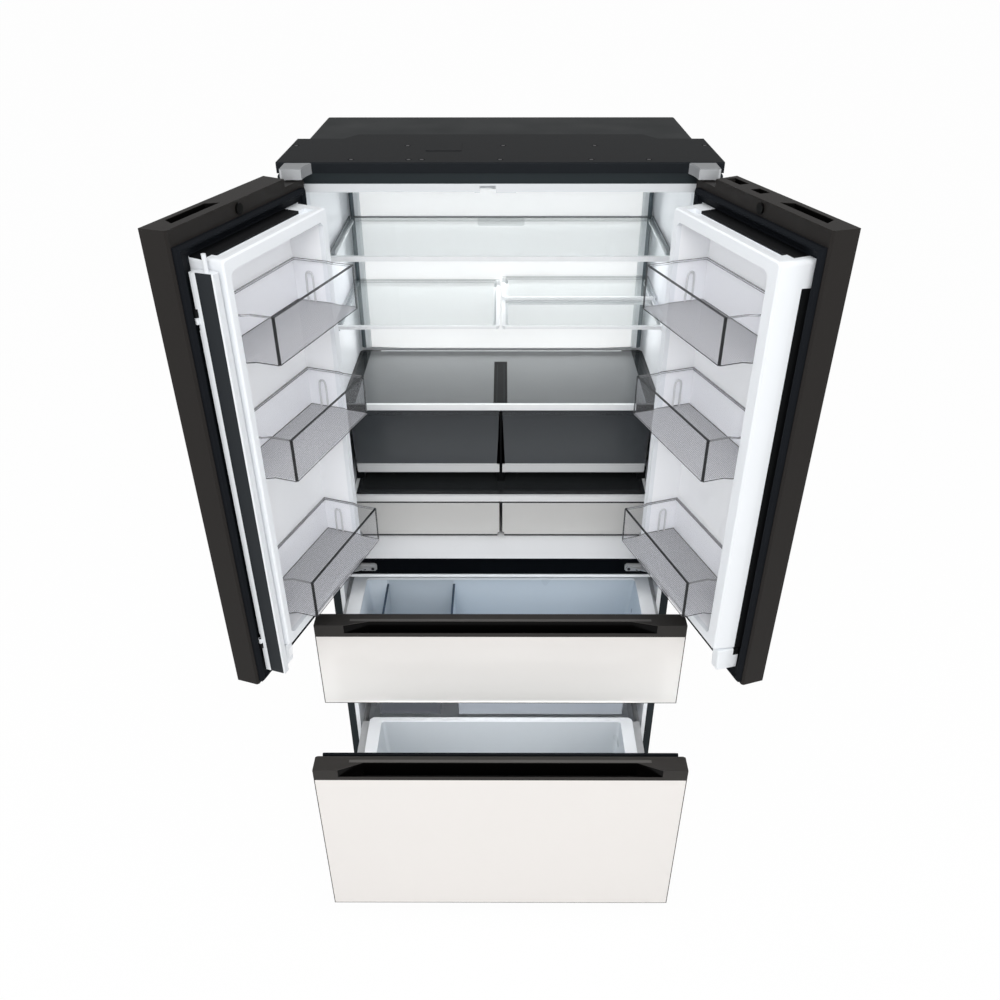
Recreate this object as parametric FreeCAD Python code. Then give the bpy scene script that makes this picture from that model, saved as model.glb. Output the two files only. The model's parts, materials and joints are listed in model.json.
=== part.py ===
"""Refrigerator with two upper doors and two full-width freezer drawers.

Modelled with the cabinet's front plane at Y = 0, X = 0 midway across and the floor at Z = 0, all in
millimetres. Doors and drawers are built closed and then carried to their open rest places. The finished
pieces are moved along Y so that the origin lies under the middle of the opened object.
"""

import FreeCAD, Part
import math
import os

V = FreeCAD.Vector
UP = V(0, 0, 1)
ACROSS = V(1, 0, 0)
INWARD = V(0, 1, 0)
ORIGIN = V(0, 0, 0)

FULL_TURN = 360.0
QUARTER_TURN = 90.0
HEX_SIDES = 6
UPRIGHT_SHARE = 0.2
ALONG_SHARE = 0.99

# Cabinet
CABINET_WIDTH = 912.0
CABINET_DEPTH = 635.0
CABINET_BOTTOM = 40.0
ROOF_HEIGHT = 1839.0
ROOF_CORNER = 8.0
STEEL = 1.0
FLANGE_WIDTH = 21.0
HEAD_FLANGE = 21.0

# Linings and clearances
LINER_WALL = 2.0
RUNNING = 0.3
EDGE_GAP = 1.0
CUT = 6.0

# Fresh food space
FRESH_FLOOR = 874.0
FRESH_CEILING = 1801.0
FRESH_HALF = 424.0
POCKET_DEPTH = 95.0
POCKET_STEP = 15.0
WALL_FRONT_HALF = 417.0
WALL_BACK_HALF = 409.0
FRESH_BACK = 575.0
LINER_CORNER = 20.0
SHOULDER_HALF = 397.0
LEDGE_HEIGHT = 8.0
LEDGE_DEPTH = 12.0
LEDGE_SETBACK = 12.0

# Freezer space
FREEZER_FLOOR = 70.0
FREEZER_TOP = 812.0
FREEZER_FOOT = 46.0
STEP_FRONT = 400.0
STEP_LEAN = 15.0
STEP_TOP = 330.0

# Machine space
MACHINE_FRONT = 430.0
MACHINE_TOP = 300.0
MACHINE_HALF = 440.0

# Cross rails
RAIL_DEPTH = 45.0
CENTER_RAIL_BOTTOM = 820.0
LOWER_RAIL_BOTTOM = 546.0
LOWER_RAIL_TOP = 606.0
RAIL_LIP = 4.0

# Doors, in a frame of their own: u along the width, v inwards, hinge axis at u = v = 0
HINGE_X = 431.5
HINGE_SETOUT = 42.0
REST_ANGLE = 108.6
DOOR_HINGE_EDGE = 24.5
DOOR_WIDTH = 454.5
DOOR_FRONT = 23.0
DOOR_BACK = 29.6
DOOR_BOTTOM = 851.7
DOOR_TOP = 1850.0
DOOR_SIDE_RAIL = 12.0
DOOR_BOTTOM_RAIL = 26.0
DOOR_TOP_RAIL = 44.0
DOOR_CORNER = 4.0
STEP_DROP = 15.0
STEP_U = 41.0
STEP_RAKE = 11.0
GLASS = 4.0
GLASS_EDGE = 2.0
HANDLE_SLOT_START = 245.0
HANDLE_SLOT_LENGTH = 143.0
HANDLE_SLOT_RAKE = 14.0
HANDLE_SLOT_WIDTH = 23.0
HANDLE_SLOT_DEPTH = 10.0
SMALL_POCKET_STARTS = (57.0, 145.0)
SMALL_POCKET_ENDS = (107.0, 180.0)
SMALL_POCKET_WIDTH = 21.0
SMALL_POCKET_DEPTH = 8.0
PLUG_RADIUS = 10.0
PLUG_HEIGHT = 4.0
PLUG_U = 219.0
PLUG_DROP = 10.0

# Door gasket
GASKET_FACE = 41.7
GASKET_HINGE_OUTER = -8.0
GASKET_WIDTH = 12.0
GASKET_FREE_OUTER = 424.0
GASKET_TOP = 1821.0
GASKET_FOOT = 858.5
GASKET_BEVEL = 4.5

# Door liner and its raised rim
RIM_HINGE_SIDE = 12.0
RIM_FREE_SIDE_LEFT = 386.0
RIM_FREE_SIDE_RIGHT = 405.0
RIM_FREE_DRAFT_RIGHT = 10.0
RIM_BOTTOM = 940.0
RIM_TOP = 1797.0
RIM_CREST = 95.0
RIM_DRAFT = 3.0
RIM_INNER_HINGE = 35.0
RIM_INNER_FREE = 365.0
RIM_INNER_TOP = 1771.0
RIM_INNER_BOTTOM = 966.0
RIM_ROUND = 9.0
LINER_FLOOR = 16.0
LINER_FLANGE = 2.5
STRIP_START = 43.0
STRIP_END = 362.0
STRIP_DROP = 9.0
STRIP_WIDTH = 22.0
STRIP_SETBACK = 12.0

# Door bins
BIN_FRONT = 160.0
BIN_BACK = 17.0
BIN_SIDE_NEAR = 36.4
BIN_SIDE_FAR = 363.6
BIN_FRONT_NEAR = 41.0
BIN_FRONT_FAR = 356.0
BIN_NECK = 97.0
BIN_WALL = 3.0
BIN_ROUND = 4.0
BIN_NECK_RUN = 14.0
BIN_FLOORS = (1603.0, 1361.0, 1023.0)
BIN_HEIGHT = 90.0
BIN_LIP = 3.0

# Flip mullion on the left door
MULLION_PIVOT_U = 407.5
MULLION_PIVOT_V = 40.75
MULLION_WIDTH = 48.0
MULLION_DEPTH = 19.5
MULLION_BOTTOM = 882.0
MULLION_TOP = 1777.0
MULLION_SKIN = 1.25
MULLION_PLATE = 1.5
MULLION_PLATE_EDGE = 4.0
MULLION_PIN_RADIUS = 2.5
MULLION_EAR_RADIUS = 4.0
MULLION_EAR_HEIGHT = 14.0
MULLION_EAR_SHARES = (0.08, 0.92)
MULLION_KNUCKLE = 24.0
GUIDE_PIN_RADIUS = 4.0
GUIDE_PIN_TOP = 1808.0
GUIDE_PIN_INSET = 11.0
GUIDE_PIN_OUT = 29.0

# Mullion guide in the ceiling
GUIDE_LEFT = -53.0
GUIDE_RIGHT = 33.0
GUIDE_DEPTH = 62.0
GUIDE_TOP = 1817.0
GUIDE_BOTTOM = 1799.0
GUIDE_MOUTH_LEFT = -42.0
GUIDE_MOUTH_RIGHT = -9.0
GUIDE_POCKET_LEFT = -46.0
GUIDE_POCKET_RIGHT = 17.0
GUIDE_POCKET_BACK = 42.0
GUIDE_POCKET_FRONT = 4.0
GUIDE_CROWN = 3.0

# Top cover
COVER_TOP = 1860.0
COVER_OVERHANG = 2.0
COVER_END_DEPTH = 240.0
COVER_MID_DEPTH = 290.0
COVER_BULGE_HALF = 325.0
COVER_BULGE_RUN = 28.0
COVER_WALL = 2.5
COVER_EDGE = 3.0
COVER_PAD_LEFT = -159.0
COVER_PAD_RIGHT = -83.0
COVER_PAD_FRONT = 108.0
COVER_PAD_BACK = 189.0
COVER_PAD_HEIGHT = 0.8
COVER_SCREW_PLACES = (-306.0, -188.0, -161.0, 0.0, 187.0, 305.0)
COVER_SCREW_SETBACK = 25.0
COVER_REAR_PLACES = (-445.0, -202.0, 6.0, 205.0, 445.0)
COVER_REAR_SETBACK = 165.0
SCREW_HEAD = 4.5
SCREW_HEAD_HEIGHT = 1.6
SCREW_RECESS = 7.0
SCREW_RECESS_DEPTH = 1.6

# Hinges
PIN_RADIUS = 4.0
PIN_CLEARANCE = 0.08
BRACKET_THICK = 4.0
BRACKET_ARM_HALF = 5.0
BRACKET_INNER = 395.0
BRACKET_FOOT_HALF = 32.0
BRACKET_FOOT_DEPTH = 70.0
PIN_DROP = 20.0
CAP_OUTER = 439.0
CAP_BACK_INNER = 384.0
CAP_FRONT_INNER = 395.0
CAP_FRONT_OUTER = 434.0
CAP_FRONT = 56.0
CAP_BULGE = 3.0
CAP_BOTTOM = 1838.0
CAP_TOP = 1859.0
CAP_WALL = 1.5
CAP_BACK = 2.3
LOWER_ARM_TOP = 851.2
LOWER_ARM_THICK = 3.0
LOWER_PLATE_INNER = 329.0
LOWER_PLATE_OUTER = 373.0
LOWER_PLATE_BOTTOM = 835.0
LOWER_PLATE_TOP = 857.5
LOWER_PLATE_THICK = 4.7
LOWER_ARM_REACH = 22.0

# Shelves
SHELF_FRONT = 181.0
SHELF_BACK = 543.0
SHELF_FRAME = 12.0
SHELF_RING = 16.0
SHELF_SEAT = 9.0
SHELF_GLASS = 4.0
SHELF_CORNER = 8.0
TOP_SHELF_TOP = 1613.0
MIDDLE_SHELF_TOP = 1442.0
MIDDLE_SHELF_FRAME = 8.0
REAR_SHELF_LIFT = 9.0
SHELF_SPLIT_HALF = 3.0
SHELF_SEAM = 372.0
SHELF_SEAM_OVERLAP = 8.0
SLIDE_SHELF_INSET = 6.0
COVER_SHELF_TOP = 1231.0
COVER_SHELF_FRAME = 16.0
SUPPORT_HALF = 17.0
SUPPORT_REACH = 60.0
SUPPORT_HEIGHT = 26.0

# Duct panel on the back wall
PANEL_TOP_HALF = 377.0
PANEL_FOOT_HALF = 377.0
PANEL_FOOT = 1236.0
PANEL_CROWN = 547.0
PANEL_EDGE = 556.0
PANEL_BEVEL = 90.0
TRIM_TOP_OUTER = 405.0
TRIM_FOOT_OUTER = 405.0
TRIM_CROWN = 548.0
TRIM_EASE = 6.0
FILTER_HALF = 63.0
FILTER_BOTTOM = 1585.0
FILTER_TOP = 1608.0
FILTER_THICK = 3.0
FILTER_CORNER = 4.0
TOWER_HALF = 18.0
TOWER_BOTTOM = 1046.0
TOWER_TOP = 1205.0
TOWER_FRONT = 552.0

# Crispers and pantry drawers
CRISPER_FRONT = 181.0
CRISPER_BACK = 542.0
CRISPER_OUTER = 395.0
CRISPER_TOP = 1213.0
CRISPER_BOTTOM = 1034.0
CRISPER_MIDDLE_GAP = 4.0
CRISPER_WALL = 2.5
CRISPER_LEAN = 8.0
CRISPER_TRIM_HEIGHT = 22.0
CRISPER_TRIM_OUT = 6.0
CRISPER_TRIM_END = 385.0
DRAWER_ROUND = 12.0
DIVIDER_HALF = 1.7
RUNNER_INNER = 372.0
RUNNER_OUTER = 394.0
RUNNER_NOSE_HALF = 11.0
PANTRY_COVER_TOP = 1004.0
PANTRY_COVER_FRAME = 17.0
PANTRY_COVER_HALF = 394.0
PANTRY_FRONT = 100.0
PANTRY_TOP = 986.0
PANTRY_BOTTOM = 889.0
PANTRY_OUTER = 386.0
PANTRY_MIDDLE_GAP = 2.0
PANTRY_FACE = 5.0
PANTRY_WALL = 2.5
PANTRY_REBATE = 13.0

# Freezer drawers
DRAWER_HALF = 455.5
DRAWER_FRONT = 65.0
DRAWER_BACK = 12.4
UPPER_BOTTOM = 587.1
UPPER_PANEL_TOP = 811.0
UPPER_TOP = 847.0
LOWER_BOTTOM = 33.6
LOWER_PANEL_TOP = 530.5
LOWER_TOP = 565.0
DRAWER_RAIL = 12.0
DRAWER_REAR_WALL = 2.5
BAR_CHAMFER = 10.0
BAR_BACK_DROP = 12.0
UPPER_RECESS_FRONT_HALF = 388.0
UPPER_RECESS_BACK_HALF = 322.0
LOWER_RECESS_FRONT_HALF = 398.0
LOWER_RECESS_BACK_HALF = 335.0
RECESS_DEPTH = 17.0
LOWER_RECESS_DEPTH = 26.0
LIP_HEIGHT = 11.0
LIP_THICK = 6.0
GROOVE_DEPTH = 16.0
DRAWER_GASKET_OUTER = 439.5
DRAWER_GASKET_WIDTH = 16.0
UPPER_GASKET_FOOT = 590.0
UPPER_GASKET_TOP = 833.5
LOWER_GASKET_FOOT = 48.0
LOWER_GASKET_TOP = 562.0
DRAWER_GASKET_BEVEL = 5.0
UPPER_OUT = 181.0
LOWER_OUT = 388.5
FREEZER_BIN_WALL = 3.0
UPPER_BIN_RIM = 750.0
UPPER_BIN_BOTTOM = 618.0
UPPER_BIN_HALF = 409.5
UPPER_BIN_BACK = 271.0
UPPER_BIN_FLANGE = 33.0
ICE_LEFT = -315.0
ICE_RIGHT = -131.0
ICE_STEP_DROP = 18.0
LOWER_BIN_RIM = 290.0
LOWER_BIN_BOTTOM = 92.0
LOWER_BIN_HALF = 392.0
LOWER_BIN_BACK = 384.0
LOWER_BIN_FLANGE = 32.0
BIN_FLANGE_THICK = 4.0
FREEZER_BIN_LEAN = 16.0
FREEZER_BIN_CORNER = 14.0
FREEZER_BACK_FLANGE = 10.0

# Freezer slides, three members to a side
SLIDE_FRONT = 20.0
SLIDE_BACK = 392.0
SLIDE_STAGGER = 10.0
SLIDE_HEIGHT = 46.0
SLIDE_SHEET = 1.5
SLIDE_REACH = 7.0
SLIDE_STEP = 5.0
UPPER_SLIDE_BOTTOM = 690.0
LOWER_SLIDE_BOTTOM = 190.0
CARRIER_SHEET = 2.0

# Freezer trays
TRAY_FRONT = 3.0
TRAY_BACK = 345.0
TRAY_BOTTOM = 297.0
TRAY_TOP = 500.0
LEFT_TRAY_OUTER = -367.0
LEFT_TRAY_INNER = -175.0
RIGHT_TRAY_INNER = -131.0
RIGHT_TRAY_OUTER = 368.0
TRAY_WALL = 3.0
TRAY_RIM = 10.0
TRAY_RIM_THICK = 4.0
TRAY_LEAN = 6.0
TRAY_ROUND = 16.0
TRAY_RUNNER_THICK = 5.0
TRAY_BEAM_HALF = 11.0
TRAY_BEAM_FRONT = 46.0

# Cooling
EVAPORATOR_COVER_FRONT = 490.0
EVAPORATOR_COVER_THICK = 3.0
EVAPORATOR_COVER_BOTTOM = 345.0
EVAPORATOR_COVER_TOP = 795.0
EVAPORATOR_HALF = 290.0
EVAPORATOR_FRONT = 510.0
EVAPORATOR_DEPTH = 56.0
EVAPORATOR_BOTTOM = 372.0
EVAPORATOR_TUBE = 4.0
EVAPORATOR_PITCH = 26.0
EVAPORATOR_ROWS = 6
EVAPORATOR_FINS = 7
FIN = 1.2
EVAPORATOR_FAN_HEIGHT = 672.0
EVAPORATOR_FAN_RADIUS = 54.0
FAN_TIP_GAP = 4.0
FAN_HUB_SHARE = 0.32
FAN_BLADES = 5
FAN_DEPTH = 22.0
FAN_BLADE_THICK = 1.6
FAN_TWIST = 32.0
FAN_SHAFT = 3.0
FAN_STRUT = 8.0
FAN_STRUTS = 3
FAN_ROOT_SHARE = 0.8
FAN_BLADE_SHARE = 0.8
COMPRESSOR_X = 210.0
COMPRESSOR_Y = 532.0
COMPRESSOR_RADIUS = 78.0
COMPRESSOR_HEIGHT = 175.0
COMPRESSOR_FOOT = 14.0
COMPRESSOR_PLATE = 3.0
COMPRESSOR_STUB = 22.0
CONDENSER_LEFT = -400.0
CONDENSER_RIGHT = -130.0
CONDENSER_FRONT = 458.0
CONDENSER_DEPTH = 140.0
CONDENSER_TUBE = 4.0
CONDENSER_PITCH = 34.0
CONDENSER_ROWS = 5
CONDENSER_FINS = 6
CONDENSER_FAN_RADIUS = 72.0
CONDENSER_FAN_X = -70.0
SHROUD_THICK = 3.0
MACHINE_COVER_THICK = 1.0
LOUVRE_ROWS = 5
LOUVRE_HEIGHT = 6.0
LOUVRE_WIDTH = 120.0
LOUVRE_PLACES = (-260.0, 0.0, 260.0)

# Base
BASE_SHEET = 3.0
BASE_HALF = 448.0
BASE_FRONT = 22.0
BASE_LIP = 14.0
FOOT_X = 400.0
FOOT_Y = 48.0
FOOT_RADIUS = 20.0
FOOT_PAD = 9.0
FOOT_STEM = 6.0
FOOT_NUT = 10.0
FOOT_NUT_HEIGHT = 5.0
ROLLER_X = 395.0
ROLLER_Y = 565.0
ROLLER_RADIUS = 19.0
ROLLER_WIDTH = 24.0
ROLLER_AXLE = 4.0
ROLLER_CHEEK = 3.0
ROLLER_SIDE_GAP = 1.0

CABINET_HALF = CABINET_WIDTH / 2
FLANGE_INNER = CABINET_HALF - FLANGE_WIDTH
OPENING_TOP = ROOF_HEIGHT - HEAD_FLANGE
DOOR_FREE_EDGE = DOOR_WIDTH - DOOR_HINGE_EDGE
REST = math.radians(REST_ANGLE)
HINGE_Y = -HINGE_SETOUT
FRONT_MOST = HINGE_Y - math.sin(REST) * DOOR_FREE_EDGE + math.cos(REST) * DOOR_BACK
SHIFT_Y = -(CABINET_DEPTH + FRONT_MOST) / 2


def box(x0, x1, y0, y1, z0, z1):
    """Block between two corners."""
    return Part.makeBox(x1 - x0, y1 - y0, z1 - z0, V(x0, y0, z0))


def both(x0, x1, y0, y1, z0, z1):
    """The same block on the right and on the left."""
    return [box(x0, x1, y0, y1, z0, z1), box(-x1, -x0, y0, y1, z0, z1)]


def face(points):
    """Flat face from corner points."""
    corners = [V(*p) for p in points]
    return Part.Face(Part.makePolygon(corners + corners[:1]))


def prism(points, z0, z1):
    """Plan outline raised from z0 to z1."""
    return face([(x, y, z0) for x, y in points]).extrude(V(0, 0, z1 - z0))


def profile_yz(points, x0, x1):
    """Side outline drawn out from x0 to x1."""
    return face([(x0, y, z) for y, z in points]).extrude(V(x1 - x0, 0, 0))


def profile_xz(points, y0, y1):
    """Front outline drawn out from y0 to y1."""
    return face([(x, y0, z) for x, z in points]).extrude(V(0, y1 - y0, 0))


def frustum(start, end):
    """Solid with flat faces between two outlines whose matching edges are parallel."""
    rise = V(*end[0]) - V(*start[0])
    if face(start).normalAt(0, 0).dot(rise) < 0:
        start = start[::-1]
        end = end[::-1]
    faces = [face(start[::-1]), face(end)]
    count = len(start)
    for index in range(count):
        after = (index + 1) % count
        faces.append(face([start[index], start[after], end[after], end[index]]))
    return Part.Solid(Part.Shell(faces))


def cylinder(radius, start, along, length):
    return Part.makeCylinder(radius, length, V(*start), along)


def joined(shapes):
    """One solid from pieces that overlap or touch."""
    whole = shapes[0].fuse(shapes[1:]) if len(shapes) > 1 else shapes[0]
    return whole.removeSplitter()


def less(shape, tools):
    """The shape with every tool cut away."""
    return shape.cut(tools)


def upright_edges(shape, keep=None):
    """Edges along Z, all or those that keep() accepts by their middle."""
    found = []
    for edge in shape.Edges:
        a = edge.Vertexes[0].Point
        b = edge.Vertexes[-1].Point
        plumb = math.hypot(a.x - b.x, a.y - b.y) < abs(a.z - b.z) * UPRIGHT_SHARE
        if plumb and (keep is None or keep((a + b) / 2)):
            found.append(edge)
    return found


def edges_at(shape, direction, keep):
    """Straight edges along a direction that keep() accepts by their middle."""
    found = []
    for edge in shape.Edges:
        a = edge.Vertexes[0].Point
        b = edge.Vertexes[-1].Point
        run = b - a
        along = abs(run.dot(direction)) > ALONG_SHARE * run.Length > 0
        if along and keep((a + b) / 2):
            found.append(edge)
    return found


def rounded(shape, radius, keep=None):
    """The shape with its upright edges rounded."""
    return shape.makeFillet(radius, upright_edges(shape, keep))


def eased(shape, size, keep=None):
    """The shape with its upright edges chamfered."""
    return shape.makeChamfer(size, upright_edges(shape, keep))


def hexagon(radius, start, along, length):
    """Six-sided bar whose corners lie at that radius."""
    turns = [2 * math.pi * corner / HEX_SIDES for corner in range(HEX_SIDES)]
    bar = prism([(radius * math.cos(turn), radius * math.sin(turn)) for turn in turns], 0, length)
    bar.Placement = FreeCAD.Placement(V(*start), FreeCAD.Rotation(UP, along))
    return bar


def mirrored(shape):
    return shape.mirror(ORIGIN, ACROSS)


def pair(shape):
    """The shape and its mirror image as one group."""
    return Part.makeCompound([shape, mirrored(shape)])


def moved(shape, x=0, y=0, z=0):
    copy = shape.copy()
    copy.translate(V(x, y, z))
    return copy


def export(node, shape):
    """Writes one piece, shifted to the part's own origin."""
    moved(shape, y=SHIFT_Y).exportStep("parts/" + node + ".step")


# Cabinet shell, foam and linings


def roofed_block(half, y0, y1, z0, z1, radius):
    """Block with its two long roof corners rounded."""
    block = box(-half, half, y0, y1, z0, z1)
    return block.makeFillet(radius, edges_at(block, INWARD, lambda p: p.z > (z0 + z1) / 2))


def outer_shell():
    inner_half = CABINET_HALF - STEEL
    shell = roofed_block(CABINET_HALF, 0, CABINET_DEPTH, CABINET_BOTTOM, ROOF_HEIGHT, ROOF_CORNER)
    hollow = roofed_block(
        inner_half, STEEL, CABINET_DEPTH - STEEL, CABINET_BOTTOM - CUT, ROOF_HEIGHT - STEEL,
        ROOF_CORNER - STEEL,
    )
    mouth = box(-FLANGE_INNER, FLANGE_INNER, -CUT, STEEL + CUT, CABINET_BOTTOM - CUT, OPENING_TOP)
    hatch = box(
        -MACHINE_HALF, MACHINE_HALF, CABINET_DEPTH - CUT, CABINET_DEPTH + CUT, CABINET_BOTTOM - CUT,
        MACHINE_TOP,
    )
    return less(shell, [hollow, mouth, hatch])


def fresh_plan(grow, lower):
    """Half of the fresh food outline, front to back; the lower part has shoulders."""
    waist = SHOULDER_HALF if lower else WALL_FRONT_HALF
    heel = SHOULDER_HALF if lower else WALL_BACK_HALF
    half = [
        (FRESH_HALF + grow, 0),
        (FRESH_HALF + grow, POCKET_DEPTH + grow),
        (waist + grow, POCKET_DEPTH + POCKET_STEP * (0 if lower else 1) + grow),
        (heel + grow, FRESH_BACK + grow),
    ]
    return half + [(-x, y) for x, y in reversed(half)]


def fresh_block(grow):
    """The fresh food space as a solid, grown outwards by a wall."""
    split = PANTRY_COVER_TOP
    upper = prism(fresh_plan(grow, False), split - grow, FRESH_CEILING + grow)
    lower = prism(fresh_plan(grow, True), FRESH_FLOOR - grow, split + grow)
    corner = LINER_CORNER + grow
    upper = eased(upper, corner, lambda p: p.y > FRESH_BACK - CUT)
    lower = eased(lower, corner, lambda p: p.y > FRESH_BACK - CUT)
    return upper.fuse(lower)


def wall_half(y):
    """Half the fresh food width at a depth behind the door pocket."""
    start = POCKET_DEPTH + POCKET_STEP
    share = (y - start) / (FRESH_BACK - start)
    return WALL_FRONT_HALF + (WALL_BACK_HALF - WALL_FRONT_HALF) * share


def ledge(bottom, inner, front, back, height=LEDGE_HEIGHT):
    """Support rib on both side walls, reaching in to inner."""
    outer = FRESH_HALF - LINER_WALL
    rib = [
        (inner, bottom),
        (outer, bottom - LEDGE_HEIGHT),
        (outer, bottom + height),
        (inner, bottom + height),
    ]
    right = profile_xz(rib, front, back)
    limit = prism(fresh_plan(LINER_WALL / 2, False), bottom - LEDGE_HEIGHT - CUT, bottom + height + CUT)
    right = right.common(limit)
    return [right, mirrored(right)]


def fresh_food_liner():
    flange = box(
        -FLANGE_INNER, FLANGE_INNER, 0, LINER_WALL, FRESH_FLOOR - LINER_WALL, OPENING_TOP
    )
    ribs_front = SHELF_FRONT + LEDGE_SETBACK
    reach = WALL_BACK_HALF - LEDGE_DEPTH
    top_seat = TOP_SHELF_TOP - SHELF_FRAME
    middle_seat = MIDDLE_SHELF_TOP - MIDDLE_SHELF_FRAME
    cover_seat = COVER_SHELF_TOP - COVER_SHELF_FRAME
    rear_reach = WALL_BACK_HALF - EDGE_GAP * 3
    rear_front = SHELF_SEAM + LEDGE_SETBACK
    lift = MIDDLE_SHELF_TOP + REAR_SHELF_LIFT - MIDDLE_SHELF_FRAME - middle_seat
    ribs = ledge(top_seat - LEDGE_HEIGHT, reach, ribs_front, SHELF_BACK)
    ribs += ledge(middle_seat - LEDGE_HEIGHT - RUNNING, reach, ribs_front, SHELF_BACK)
    ribs += ledge(cover_seat - LEDGE_HEIGHT, reach, ribs_front, SHELF_BACK)
    ribs += ledge(middle_seat, rear_reach, rear_front, SHELF_BACK, lift)[:1]
    cover_rib_top = PANTRY_COVER_TOP - PANTRY_COVER_FRAME
    ribs += both(
        PANTRY_COVER_HALF - LEDGE_DEPTH / 3, SHOULDER_HALF + LINER_WALL / 2,
        PANTRY_FRONT + LEDGE_SETBACK, SHELF_BACK, cover_rib_top - LEDGE_HEIGHT, cover_rib_top,
    )
    shell = fresh_block(LINER_WALL).fuse(flange)
    shell = less(shell, [moved(fresh_block(0), y=-CUT), fresh_block(0)])
    shell = shell.fuse(ribs)
    return less(shell, [guide_block(0)]).removeSplitter()


def freezer_profile(grow):
    return [
        (-CUT, FREEZER_FLOOR - grow),
        (STEP_FRONT - STEP_LEAN + grow, FREEZER_FLOOR - grow),
        (STEP_FRONT + grow, STEP_TOP - STEP_LEAN - grow),
        (STEP_FRONT + STEP_LEAN + grow, STEP_TOP - grow),
        (FRESH_BACK + grow, STEP_TOP - grow),
        (FRESH_BACK + grow, FREEZER_TOP + grow),
        (-CUT, FREEZER_TOP + grow),
    ]


def freezer_block(grow):
    half = FRESH_HALF + grow
    block = profile_yz(freezer_profile(grow), -half, half)
    return block.common(box(-half, half, 0, CABINET_DEPTH, 0, ROOF_HEIGHT))


def freezer_liner():
    flange = box(-FLANGE_INNER, FLANGE_INNER, 0, LINER_WALL, FREEZER_FOOT, CENTER_RAIL_BOTTOM)
    shell = freezer_block(LINER_WALL).fuse(flange)
    shell = less(shell, [moved(freezer_block(0), y=-CUT), freezer_block(0)])
    return less(shell, [lower_rail_block()]).removeSplitter()


def center_rail_block():
    return box(-FLANGE_INNER, FLANGE_INNER, 0, RAIL_DEPTH, CENTER_RAIL_BOTTOM, FRESH_FLOOR - LINER_WALL)


def lower_rail_block():
    return box(-FLANGE_INNER, FLANGE_INNER, 0, RAIL_DEPTH, LOWER_RAIL_BOTTOM, LOWER_RAIL_TOP)


def cross_rails():
    upper = center_rail_block()
    upper = upper.makeChamfer(RAIL_LIP / 2, edges_at(upper, ACROSS, lambda p: p.y < CUT))
    lower = less(lower_rail_block(), [insulation_body()])
    lower = lower.makeFillet(RAIL_LIP, edges_at(lower, ACROSS, lambda p: p.y > RAIL_DEPTH / 2))
    return Part.makeCompound([upper, lower])


def machine_block():
    return box(
        -MACHINE_HALF, MACHINE_HALF, MACHINE_FRONT, CABINET_DEPTH, CABINET_BOTTOM - CUT, MACHINE_TOP
    )


def insulation_body():
    """Foam between the shell and the linings, before the lower rail is let in."""
    foam = roofed_block(
        CABINET_HALF - STEEL, STEEL, CABINET_DEPTH - STEEL, CABINET_BOTTOM, ROOF_HEIGHT - STEEL,
        ROOF_CORNER - STEEL,
    )
    flanges = box(-FLANGE_INNER, FLANGE_INNER, 0, LINER_WALL, CABINET_BOTTOM - CUT, OPENING_TOP)
    spaces = [fresh_block(LINER_WALL), freezer_block(LINER_WALL), center_rail_block(), machine_block()]
    return less(foam, spaces + [flanges, guide_block(0)])


def insulation():
    return less(insulation_body(), [lower_rail_block()])


# Top cover, hinges and caps


def cover_plan(inset):
    half = CABINET_HALF - inset
    end = COVER_END_DEPTH - inset
    middle = COVER_MID_DEPTH - inset
    bulge = COVER_BULGE_HALF - inset
    front = -COVER_OVERHANG + inset
    return [
        (-half, front), (half, front), (half, end), (bulge + COVER_BULGE_RUN, end), (bulge, middle),
        (-bulge, middle), (-bulge - COVER_BULGE_RUN, end), (-half, end),
    ]


def cover_block(inset, z0, z1):
    return prism(cover_plan(inset), z0, z1)


def screw_places():
    front = [(x, COVER_SCREW_SETBACK) for x in COVER_SCREW_PLACES]
    rear = [(x, COVER_REAR_SETBACK) for x in COVER_REAR_PLACES]
    return front + rear


def top_cover():
    """Cover over the hinges: hollow below, with a raised pad and a sunk seat for each screw."""
    cover = cover_block(0, ROOF_HEIGHT, COVER_TOP)
    front_edge = edges_at(cover, ACROSS, lambda p: p.y < 0 and p.z > COVER_TOP - EDGE_GAP)
    cover = cover.makeFillet(COVER_EDGE, front_edge)
    hollow = cover_block(COVER_WALL, ROOF_HEIGHT - CUT, COVER_TOP - COVER_WALL)
    pad = box(
        COVER_PAD_LEFT, COVER_PAD_RIGHT, COVER_PAD_FRONT, COVER_PAD_BACK, COVER_TOP - COVER_WALL,
        COVER_TOP + COVER_PAD_HEIGHT,
    )
    seat_floor = COVER_TOP - SCREW_RECESS_DEPTH
    seats = [hexagon(SCREW_RECESS, (x, y, seat_floor), UP, CUT) for x, y in screw_places()]
    arm_gap = bracket_arm(EDGE_GAP)
    whole = less(cover, [hollow]).fuse(pad)
    return less(whole, seats + [arm_gap, mirrored(arm_gap)]).removeSplitter()


def bracket_arm(grow):
    """Left roof bracket: foot on the roof and arm out over the door to the pin."""
    outer = HINGE_X + BRACKET_ARM_HALF + grow
    inner = BRACKET_INNER - grow
    foot_back = BRACKET_FOOT_DEPTH + grow
    tip = HINGE_Y - BRACKET_ARM_HALF - grow
    plan = [
        (-outer, tip),
        (-HINGE_X + BRACKET_ARM_HALF + grow, tip),
        (-inner, -BRACKET_ARM_HALF),
        (-inner + BRACKET_FOOT_HALF, BRACKET_FOOT_HALF),
        (-inner + BRACKET_FOOT_HALF, foot_back),
        (-outer, foot_back),
    ]
    return prism(plan, ROOF_HEIGHT, ROOF_HEIGHT + BRACKET_THICK + grow)


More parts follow.
